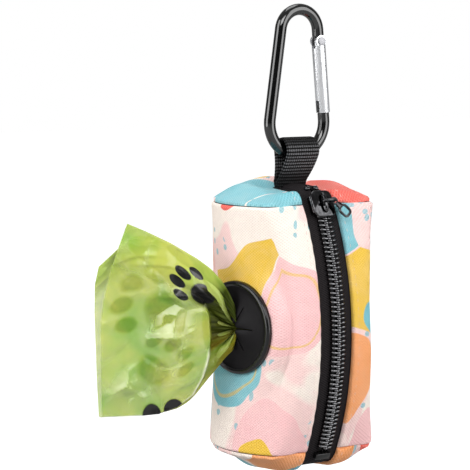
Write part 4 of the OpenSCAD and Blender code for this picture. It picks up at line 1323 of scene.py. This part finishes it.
def topstitch():
    spots = []
    d = edge_distance(WALL_GRID, ("left", "right"))
    col = int(np.argmin(np.abs(d[40, :40] - STITCH_AT)))
    for c in (col, -1 - col):
        path, out = cloth_line(WALL_GRID, WALL_TOP, slice(2, -2), c)
        spots += frames_along(path - out * 0.05, out, 2.6, 0.6, 0.6)
    for grid, top, up in ((TOP_GRID, TOP_TOP, 1), (LOW_GRID, LOW_TOP, -1)):
        d = edge_distance(grid, ("left", "right"))
        c0 = int(np.argmin(np.abs(d[10, :20] - STITCH_AT)))
        for c in (c0, -1 - c0):
            path, out = cloth_line(grid, top * up, slice(2, -4), c)
            spots += frames_along(path - out * 0.05 * up, out * up, 2.6, 0.5, 0.5)
    row_of("topstitching", stitch_unit(1.6, 0.11), spots, "thread_pale", "pouch", jitter=0.06, seed=9)


topstitch()


# ---- snap hook ------------------------------------------------------------------
def make_hook():
    top_at, low_at = BAR_D / 2 - TOP_R, BAR_D / 2 - TOP_R - BOW_GAP
    side = BOW_GAP * cos(BOW_LEAN)

    def gate_line(z):
        p = turned(stack(TOP_R, 0, z), "Y", -BOW_LEAN)
        return p + np.array([0, 0, top_at])

    def bow(r, cz, a, b, n):
        t = np.radians(np.linspace(a, b, n))
        return stack(r * np.cos(t), 0, cz + r * np.sin(t))

    parts = [gate_line(np.linspace(-GATE_TOP - 1.5, -0.3, 30)), bow(TOP_R, top_at, BOW_LEAN, 180 - BOW_LEAN, 90),
             (gate_line(np.linspace(-0.5, -side + 0.5, 60)) * [-1, 1, 1]),
             bow(LOW_R, low_at, 180 - BOW_LEAN, 360 + BOW_LEAN, 110),
             gate_line(np.linspace(-side + 0.3, -GATE_TOP - GATE_LEN + NOSE_LEN + 0.6, 40))]
    path = np.concatenate(parts)
    n = len(path)
    run = run_of(path)
    back = run[-1] - run
    thin, wide = TONGUE_T / 2, 1.6
    a, b = smooth((run - 2.7) / 0.45), smooth((back - 3.4) / 0.45)
    body = np.minimum(a, b)
    tip = np.minimum(rounded(run, 1.55), rounded(back, 1.55))
    half_y = mix(thin, BAR_D / 2, body)
    half_x = mix(wide, BAR_D / 2, body) * np.maximum(tip, 0.15)
    verts, faces = tube_along(path, half_y, half_x, (0, 1, 0), 40)
    o = piece_from("hook_bar", in_hook(verts), faces, "hook")
    sharp_where(tidy_mesh(o), 38)
    dress(o, "bar")
    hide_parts("hook_frame")
    gate = eased_copy("hook_gate", "gate_tube", "gate", 0.16, 40, 3)
    dress(gate, "gate")
    dress(eased_copy("gate_rivet", "rivet_metal", "hook", 0.14, 40, 3), "steel")


make_hook()


# ---- webbing loop ---------------------------------------------------------------
def make_webbing():
    fold_x, fold_z = -sin(HANG_LEAN) * 38, -42.6 - FOLD_R
    drop = fold_z - WEB_BASE_Z
    r = FOLD_R + WEB_T / 2
    lean = asin(r / (drop + 4.4))
    t = np.radians(np.linspace(-lean, 180 + lean, 90))
    fold = stack(r * np.cos(t), r * np.sin(t))
    tip = np.array([0, -(drop + 4.4)])

    def flank(p, n=50):
        k = np.linspace(0, 1, n + 1)[:, None]
        end = p + (tip - p) * min(1.0, (p[1] + drop + 3.0) / (p[1] - tip[1]))
        return mix(p, end, k)
    first, last = flank(fold[0]), flank(fold[-1])
    yz = np.concatenate([first[:0:-1], fold, last[1:]])
    run = run_of(yz)
    s = np.arange(0, run[-1], 0.19)
    yz = stack(np.interp(s, run, yz[:, 0]), np.interp(s, run, yz[:, 1]))
    w = np.linspace(-1, 1, 27)
    w = np.sign(w) * (1 - (1 - np.abs(w)) ** 1.5)
    depth = np.clip((1.5 - yz[:, 1]) / (drop + 1.5), 0, 1)
    half = WEB_W / 2 - 0.5 * depth ** 2
    run_off = -WEB_SKEW * drop * np.clip(-yz[:, 1] / drop, 0, 1.1) ** 1.7
    x = fold_x + w[None] * half[:, None] + run_off[:, None]
    cup = 0.22 * (w[None] ** 2) * depth[:, None]
    p = stack(x, yz[:, 0][:, None] - np.sign(yz[:, 0])[:, None] * cup, yz[:, 1][:, None] + fold_z)
    rib = 0.15 * np.cos(s * WAVE / 1.12)[:, None] * (1 - np.abs(w[None]) ** 14)
    edge = rounded((1 - np.abs(w)) * WEB_W / 2, 0.5)[None]
    out = (WEB_T / 2 - 0.08 + rib) * np.maximum(edge, 0.2)
    ins = -(WEB_T / 2 - 0.08 + rib * 0.5) * np.maximum(edge, 0.2)
    verts, faces, back = cloth_solid(p[:, ::-1], out[:, ::-1], ins[:, ::-1])
    uv = cut_of(back, w[None, ::-1] * WEB_W / 2, s[:, None])
    gx, gy = np.meshgrid(fold_x - WEB_SKEW * drop + np.linspace(-2.2, 6.0, 25), np.linspace(-6.4, 4.4, 27))
    lie = stack(gx, gy, top_z(gx, gy) + 0.45)
    soft = np.minimum(rounded(edge_distance(lie, ("left", "right", "low", "high")), 0.5), 1)
    foot = cloth_solid(lie, 0.1 + 0.9 * soft, 0.1 + 0 * soft)
    foot_uv = cut_of(foot[2], gx, gy)
    foot = (at_pouch(foot[0]), foot[1])
    verts, faces = joined((verts, faces), foot)
    o = piece_from("webbing_strap", verts, faces, "pouch", np.concatenate([uv, foot_uv]))
    dress(o, "webbing")
    spots = []
    for y in (-5.2, 3.4):
        sx = fold_x - WEB_SKEW * drop + np.linspace(-1.6, 5.4, 15)
        path = at_pouch(stack(sx, y, top_z(sx, y + 0 * sx) + 1.5))
        spots += frames_along(path, np.array([[0, 0, 1.0]] * 15), 1.8)
    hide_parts("webbing_loop")
    n = row_of("webbing_threads", stitch_unit(1.5, 0.21), spots, "thread_black", "pouch", seed=3)
    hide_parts("webbing_stitches")


make_webbing()


# ---- port -----------------------------------------------------------------------
def make_port():
    edge = [(PORT_R, 0.02), (PORT_R, 0.85)]
    edge += [(PORT_R - 1 + cos(t), 0.85 + sin(t)) for t in range(15, 91, 15)]
    edge += [(PORT_R - 1.35, 1.84), (PORT_R - 1.65, 1.7), (PORT_R - 1.85, 1.5), (PORT_R - 1.92, 1.3),
             (MEMBRANE_R - 0.1, 1.22), (MEMBRANE_R + 0.12, 1.2), (MEMBRANE_R + 0.12, 0.02)]
    verts, faces = spun(edge, 128)
    o = piece_from("port_rim", at_port(verts), faces, "pouch")
    sharp_where(tidy_mesh(o), 50)
    dress(o, "port")
    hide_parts("port_bezel")

    r = np.array([1.9, 2.4, 3, 3.8, 4.6, 5.4, 6.2, 7, 7.7, 8.2, SLIT_LEN + 0.15, 9.2, 10, 11, 11.6, 12.2, 12.8, 13.3,
                  13.8, 14.2, MEMBRANE_R])
    base = np.interp(r, [0, 3, 8, 11.5, MEMBRANE_R], [MEMBRANE_RISE + 0.2, MEMBRANE_RISE * 0.86 + 0.2,
                                                      MEMBRANE_RISE * 0.36 + 0.2, 0.2, 0.2])
    base = np.convolve(np.pad(base, 1, "edge"), [0.2, 0.6, 0.2], "valid")
    n = 14
    cols, lift = [], []
    for k in range(6):
        for i in range(n + 1):
            t = i / n
            gap = np.where(r < SLIT_LEN, 0.19 + 0.05 * np.clip(1 - r / SLIT_LEN, 0, 1), 0.004)
            a = k * 60 + mix(np.degrees(gap / r), 60 - np.degrees(gap / r), t)
            inner = smooth((SLIT_LEN + 0.5 - r) / 6)
            cols.append(stack(r * np.cos(np.radians(a + 90)), r * np.sin(np.radians(a + 90))))
            sway = (0.30 if k % 2 else 0.12) * (1 - (2 * t - 1) ** 2) - 0.12 * abs(2 * t - 1) ** 3
            lift.append(base + inner * sway)
    xy = np.stack(cols, 1)
    p = np.concatenate([xy, np.stack(lift, 1)[..., None]], -1)
    keep = np.ones((len(r) - 1, p.shape[1]), bool)
    keep[: int(np.searchsorted(r, SLIT_LEN)), n::n + 1] = False
    h, w = p.shape[:2]
    groove = 0.16 * np.exp(-((r - 12.9) / 0.28) ** 2)
    top = p + np.array([0, 0, 0.9]) - stack(0, 0, groove)[:, None]
    low = p.copy()
    idx = np.arange(h * w).reshape(h, w)
    nxt = np.roll(idx, -1, 1)
    quads = stack(idx[:-1], idx[1:], nxt[1:], nxt[:-1])[keep].reshape(-1, 4)
    verts = np.concatenate([top.reshape(-1, 3), low.reshape(-1, 3)])
    o = piece_from("slit_membrane", at_port(verts), doubled(quads, h * w), "pouch")
    sharp_where(tidy_mesh(o, 1e-7), 45)
    dress(o, "rubber")
    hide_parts("port_membrane")
    dress(eased_copy("port_back_ring", "port_clamp", "pouch", 0.15, 40, 2), "port")


make_port()


# ---- bag end --------------------------------------------------------------------
def at_tail(p):
    """From the tail's own frame, +X along the pull, +Z up, +Y to the side of the zip."""
    p = turned(p, "Z", -FEED_TURN) + np.array([SLIT_OUT, 0, PORT_Z])
    return at_pouch(turned(p, "Z", PORT_TURN - 90))


def along_points(points, t):
    points = np.asarray(points, float)
    run = run_of(points)
    run /= run[-1]
    raw = np.stack([np.interp(t, run, points[:, k]) for k in (0, 1)], -1)
    kernel = np.exp(-np.linspace(-2, 2, 9) ** 2)
    kernel /= kernel.sum()
    soft = raw.copy()
    for k in (0, 1):
        padded = np.concatenate([2 * raw[0, k] - raw[4:0:-1, k], raw[:, k], 2 * raw[-1, k] - raw[-2:-6:-1, k]])
        soft[:, k] = np.convolve(padded, kernel, "valid")
    return soft


def ply_points(low_edge, high_edge, end_edge, start_edge, ns, nq):
    s = np.linspace(0, 1, ns) ** 1.25
    q = np.linspace(0, 1, nq)
    lo, hi = along_points(low_edge, s), along_points(high_edge, s)
    st, en = along_points(start_edge, q), along_points(end_edge, q)
    en[0], en[-1], st[0], st[-1] = lo[-1], hi[-1], lo[0], hi[0]
    sq, qq = s[:, None, None], q[None, :, None]
    flat = ((1 - qq) * lo[:, None] + qq * hi[:, None] + (1 - sq) * st[None] + sq * en[None]
            - ((1 - sq) * (1 - qq) * lo[0] + (1 - sq) * qq * hi[0] + sq * (1 - qq) * lo[-1] + sq * qq * hi[-1]))
    return flat, np.broadcast_to(s[:, None], (ns, nq)), np.broadcast_to(q[None], (ns, nq))


def creases(x, y, seed, low, high, count, sharp):
    """Sharp-backed folds of film: bent ridges in set directions."""
    rng = np.random.default_rng(seed)
    total = 0
    for _ in range(count):
        length, turn, phase = rng.uniform(low, high), rng.uniform(0, math.pi), rng.uniform(0, 6.28)
        bend, wob = rng.uniform(0.5, 2.0), rng.uniform(20, 40)
        c, s = math.cos(turn), math.sin(turn)
        along, off = x * c + y * s, -x * s + y * c
        wave = np.sin(along * WAVE / length + phase + bend * np.sin(off * WAVE / wob + phase))
        total = total + (1 - np.abs(wave)) ** sharp * rng.choice([-1, 1]) * (0.5 + 0.5
                                                                             * np.sin(off * WAVE / wob * 0.8 + phase
                                                                                      * 2))
    return total / count ** 0.5


LOW_EDGE = [(-0.9, -1.6), (-0.7, -4.5), (0.6, -7.6), (2.6, -9.6), (6, -13.9), (9.5, -18.1), (12.6, -22.0),
            (15.6, -24.9), (19.0, -26.8), (23.4, -27.9), (32, -28.6), (45.2, -28.8)]
HIGH_EDGE = [(-0.9, 1.6), (-1.0, 4.5), (0.0, 8.6), (1.6, 12.2), (4, 16.1), (7.6, 20.2), (12.1, 23.6), (21, 29),
             (29.8, 33.3), (35.6, 35.8)]
START_EDGE = [(-0.9, -1.6), (-0.9, 1.6)]
FRONT_END = [(44.4, -28.7), (44.9, -14), (44.9, 2), (43.8, 10), (41.4, 20), (38.6, 28), (35.6, 35.8)]
BACK_HIGH = [(-0.9, 1.6), (-1.0, 4.5), (0.0, 8.6), (1.6, 12.0), (4, 15.6), (7.6, 19.6), (12.1, 23.0), (21, 28.3),
             (28.4, 31.6), (33.5, 31.4), (37.6, 28.4), (41.7, 24.6), (45.1, 21.6)]
BACK_END = [(45.4, -28.8), (46.0, -12), (46.3, 6), (46.2, 15.6), (45.1, 21.6)]


FOLD_LINE = [(-28, 25), (-26, 19), (-22, 13.5), (-16, 10.2), (-9, 8.4), (-2, 7.9), (5, 8.4), (10, 10.5), (13, 14),
             (15, 20)]
RIDGES = [((43, 22), (24, 25.5), 0.9, 0.7), ((36, 23.5), (16, 19), 0.8, 0.6), ((30, 19), (27, 8), 1.0, 0.6),
          ((24, 12), (15, 7), 0.7, 0.6), ((38, -16), (28.5, -22.5), 0.9, 0.6), ((27, -8), (26, -21), 0.7, 0.5),
          ((20, -21.5), (12, -14), 0.8, 0.7)]


def ridges(x, z, lines):
    """Pinched folds: each a crest between two points, steep on one flank and easy on the other."""
    total = 0
    for (x0, z0), (x1, z1), width, tall in lines:
        dx, dz = x1 - x0, z1 - z0
        length = math.hypot(dx, dz)
        along = ((x - x0) * dx + (z - z0) * dz) / length ** 2
        off = ((z - z0) * dx - (x - x0) * dz) / length + 0.9 * np.sin(along * 5.0 + x0)
        fade = smooth((along + 0.12) / 0.5) * smooth((1.12 - along) / 0.5)
        steep, easy = np.exp(-np.maximum(off, 0) / (0.5 * width)), np.exp(-np.maximum(-off, 0) / (3.2 * width))
        total = total + tall * fade * steep * easy
    return total


def facets(x, z, seed, size, slope):
    """Crumpled film: flat facets that meet in straight creases."""
    rng = np.random.default_rng(seed)
    across = np.arange(-6, 56, size)
    up = np.arange(-36, 44, size)
    nets = []
    for _ in range(2):
        cx, cz = np.meshgrid(across, up)
        cx = (cx + rng.uniform(-0.45, 0.45, cx.shape) * size).ravel()
        cz = (cz + rng.uniform(-0.45, 0.45, cz.shape) * size).ravel()
        nets.append(np.min([(x - a) ** 2 + (z - b) ** 2 for a, b in zip(cx, cz)], axis=0))
    return (nets[0] - nets[1]) * slope / size


def make_ply(name, high_edge, end_edge, side, seed, finish, width):
    flat, s, q = ply_points(LOW_EDGE, high_edge, end_edge, START_EDGE, 180, 160)
    x, z = flat[..., 0], flat[..., 1]
    body = smooth(s * 1.4)
    edge = np.minimum(q, 1 - q)
    puff = (1.5 if side > 0 else -1.3) * smooth(edge * 4.5) * body
    far, turn = np.hypot(x + 1.2, z), np.degrees(np.arctan2(z, x + 1.2))
    reach = 9 + 17 * smooth((turn - 22) / 25) + 6 * smooth((-turn - 35) / 20)
    wave = np.sin(np.radians(turn) * 9.5 + 0.9 * side + 0.5 * np.sin(far * 0.4))
    pleats = squared_off(wave, 0.7) + 0.3 * np.sin(np.radians(turn) * 23 + 1.1) * np.exp(-far / 9)
    pleats = 1.3 * pleats * smooth(far / 3.5) * (1 - smooth((far - 0.35 * reach) / (0.8 * reach)))
    sway = 1.0 * np.sin(q * 6.9) * s
    big = creases(x, z, seed, 20, 38, 4, 2.0) * 0.7
    fold = ridges(x, z, RIDGES if side > 0 else RIDGES[::3])
    patch = np.exp(-((x - 21) / 8) ** 2 - ((z - 3) / 11) ** 2) + 0.8 * np.exp(-((x - 35) / 6) ** 2
                                                                              - ((z + 20) / 6) ** 2)
    share = np.clip(0.10 + patch, 0, 1)
    crumple = (facets(x, z, seed, 9.5, 0.46) + facets(x, z, seed + 5, 4.0, 0.12)) * share
    fold = fold + crumple
    gx = np.gradient(crumple, axis=0) / np.maximum(np.gradient(x, axis=0), 0.05)
    gz = np.gradient(crumple, axis=1) / np.maximum(np.gradient(z, axis=1), 0.05)
    # painted highlight: crumple facets tilted up and to one side are marked for a pale glint
    facet_glint = smooth((-0.75 * gz - 0.5 * gx - 0.10) / 0.16) * share
    w = puff + pleats + sway + (big + fold * side) * smooth((far - 4) / 10) * smooth(edge * 14 + 0.25) + 0.28 * side
    line = np.interp(z, *np.array(FOLD_LINE).T)
    over = smooth((x - line + 0.55) / 1.1)
    upper = smooth((z - 10.5) / 4)
    if side > 0:
        w = w + 1.7 * over * (1 - upper) * np.exp(-np.maximum(x - line, 0) / 16) - 0.9 * (1 - over) * (1
                                                                                                       - upper) * body
    # 'gather' darkens the film in the shader and also makes it more opaque, rougher and bumpier: partly real film
    # gathered into many plies, partly painted shade in the valley near the neck and along the pleats
    gather = (1 - over) * (1 - upper) + upper * (1 - smooth((far - 9) / 13)) * 0.8
    valley_shade = np.exp(-((turn - 38) / 7) ** 2) * (1 - smooth((far - 14) / 14)) * 0.75
    gather = np.clip(np.maximum(gather, valley_shade) if side > 0 else 0.6 * (1 - smooth(far / 14)), 0, 1)
    golden = smooth((-turn - 20) / 25) * (1 - over)
    gather = gather * (1 - 0.4 * golden) * (0.8 + 0.2 * squared_off(wave, 0.6))
    # painted highlight: a line along the fold's edge, and the facet glints, kept as the 'lit' attribute
    lit = np.exp(-((x - line - 0.5) / 0.55) ** 2) * smooth((-z - 5) / 4) * smooth((z + 26) / 3)
    lit = np.maximum(lit, 0.55 * facet_glint * smooth((far - 10) / 6)) if side > 0 else 0.2 * facet_glint
    p = stack(x, w, z)
    th = np.full(x.shape, 0.07)
    verts, faces, back = cloth_solid(p[:, ::-1], th, -th)
    film = stack(x, (q - 0.46) * width)[:, ::-1].reshape(-1, 2)[back]
    o = piece_from(name, at_tail(verts), faces, "tail", film)
    for key, value in (("gather", gather), ("lit", lit)):
        o.data.attributes.new(key, "FLOAT", "POINT").data.foreach_set("value", value[:, ::-1].reshape(-1)[back])
    dress(o, finish)
    return o


FINISH["film_front"] = film_finish(
    "bag_film_front", [((13.0, 22.6), 64, 12.5), ((23.0, -39.0), 8, 20.0)],
    srgb(204, 212, 92), srgb(142, 190, 60), 0.42)
# the back ply's tint and deep colour are painted lighter than the front's, as painted light making up for the less
# light it gets
FINISH["film_back"] = film_finish(
    "bag_film_back", [((27.5, 11.0), 62, 20.5), ((24.0, -12.0), -50, 17.0)],
    srgb(208, 218, 112), srgb(180, 206, 84), 0.55, 0.34, srgb(8, 42, 50), 1.0)
# the neck's darker colours: partly the real colour of many plies of film, partly painted shade
FINISH["film_neck"] = film_finish("bag_film_neck", [], srgb(150, 164, 52), srgb(104, 108, 30), 0.94)


def make_bag_end():
    front = make_ply("bag_front", HIGH_EDGE, FRONT_END, 1, 31, "film_front", 66)
    make_ply("bag_back", BACK_HIGH, BACK_END, -1, 47, "film_back", 66)
    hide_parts("bag_tail")
    n, m = 40, 48
    x = np.linspace(-21.2, 0.6, n)
    a = np.arange(m) / m * 2 * math.pi
    lobes = 1 + 0.22 * np.sin(a * 7)[None] * np.ones(n)[:, None] * (0.7 + 0.3 * np.sin(x * 0.9))[:, None]
    tall = (1.42 + 0.1 * np.sin(x * 0.8))[:, None]
    wide = (0.44 + 0.05 * np.sin(x * 1.3 + 1))[:, None]
    y, z = wide * np.cos(a) * lobes, tall * np.sin(a) * lobes
    verts = stack(x[:, None], y, z).reshape(-1, 3)
    o = piece_from("bag_neck", at_tail(verts), hoops(n, m) + lids(n, m), "tail", verts[:, [0, 2]] * [1, 3])
    tidy_mesh(o, 1e-7)
    # a high 'gather' darkens the neck in the shader: partly real plies of film, partly painted shade
    o.data.attributes.new("gather", "FLOAT", "POINT").data.foreach_set("value", [0.85] * len(o.data.vertices))
    dress(o, "film_neck")


make_bag_end()

low, high = (list(p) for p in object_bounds())
({"cad": [[float(c) for c in cad_low], [float(c) for c in cad_high]],
           "visual": [[float(c) for c in low], [float(c) for c in high]]})
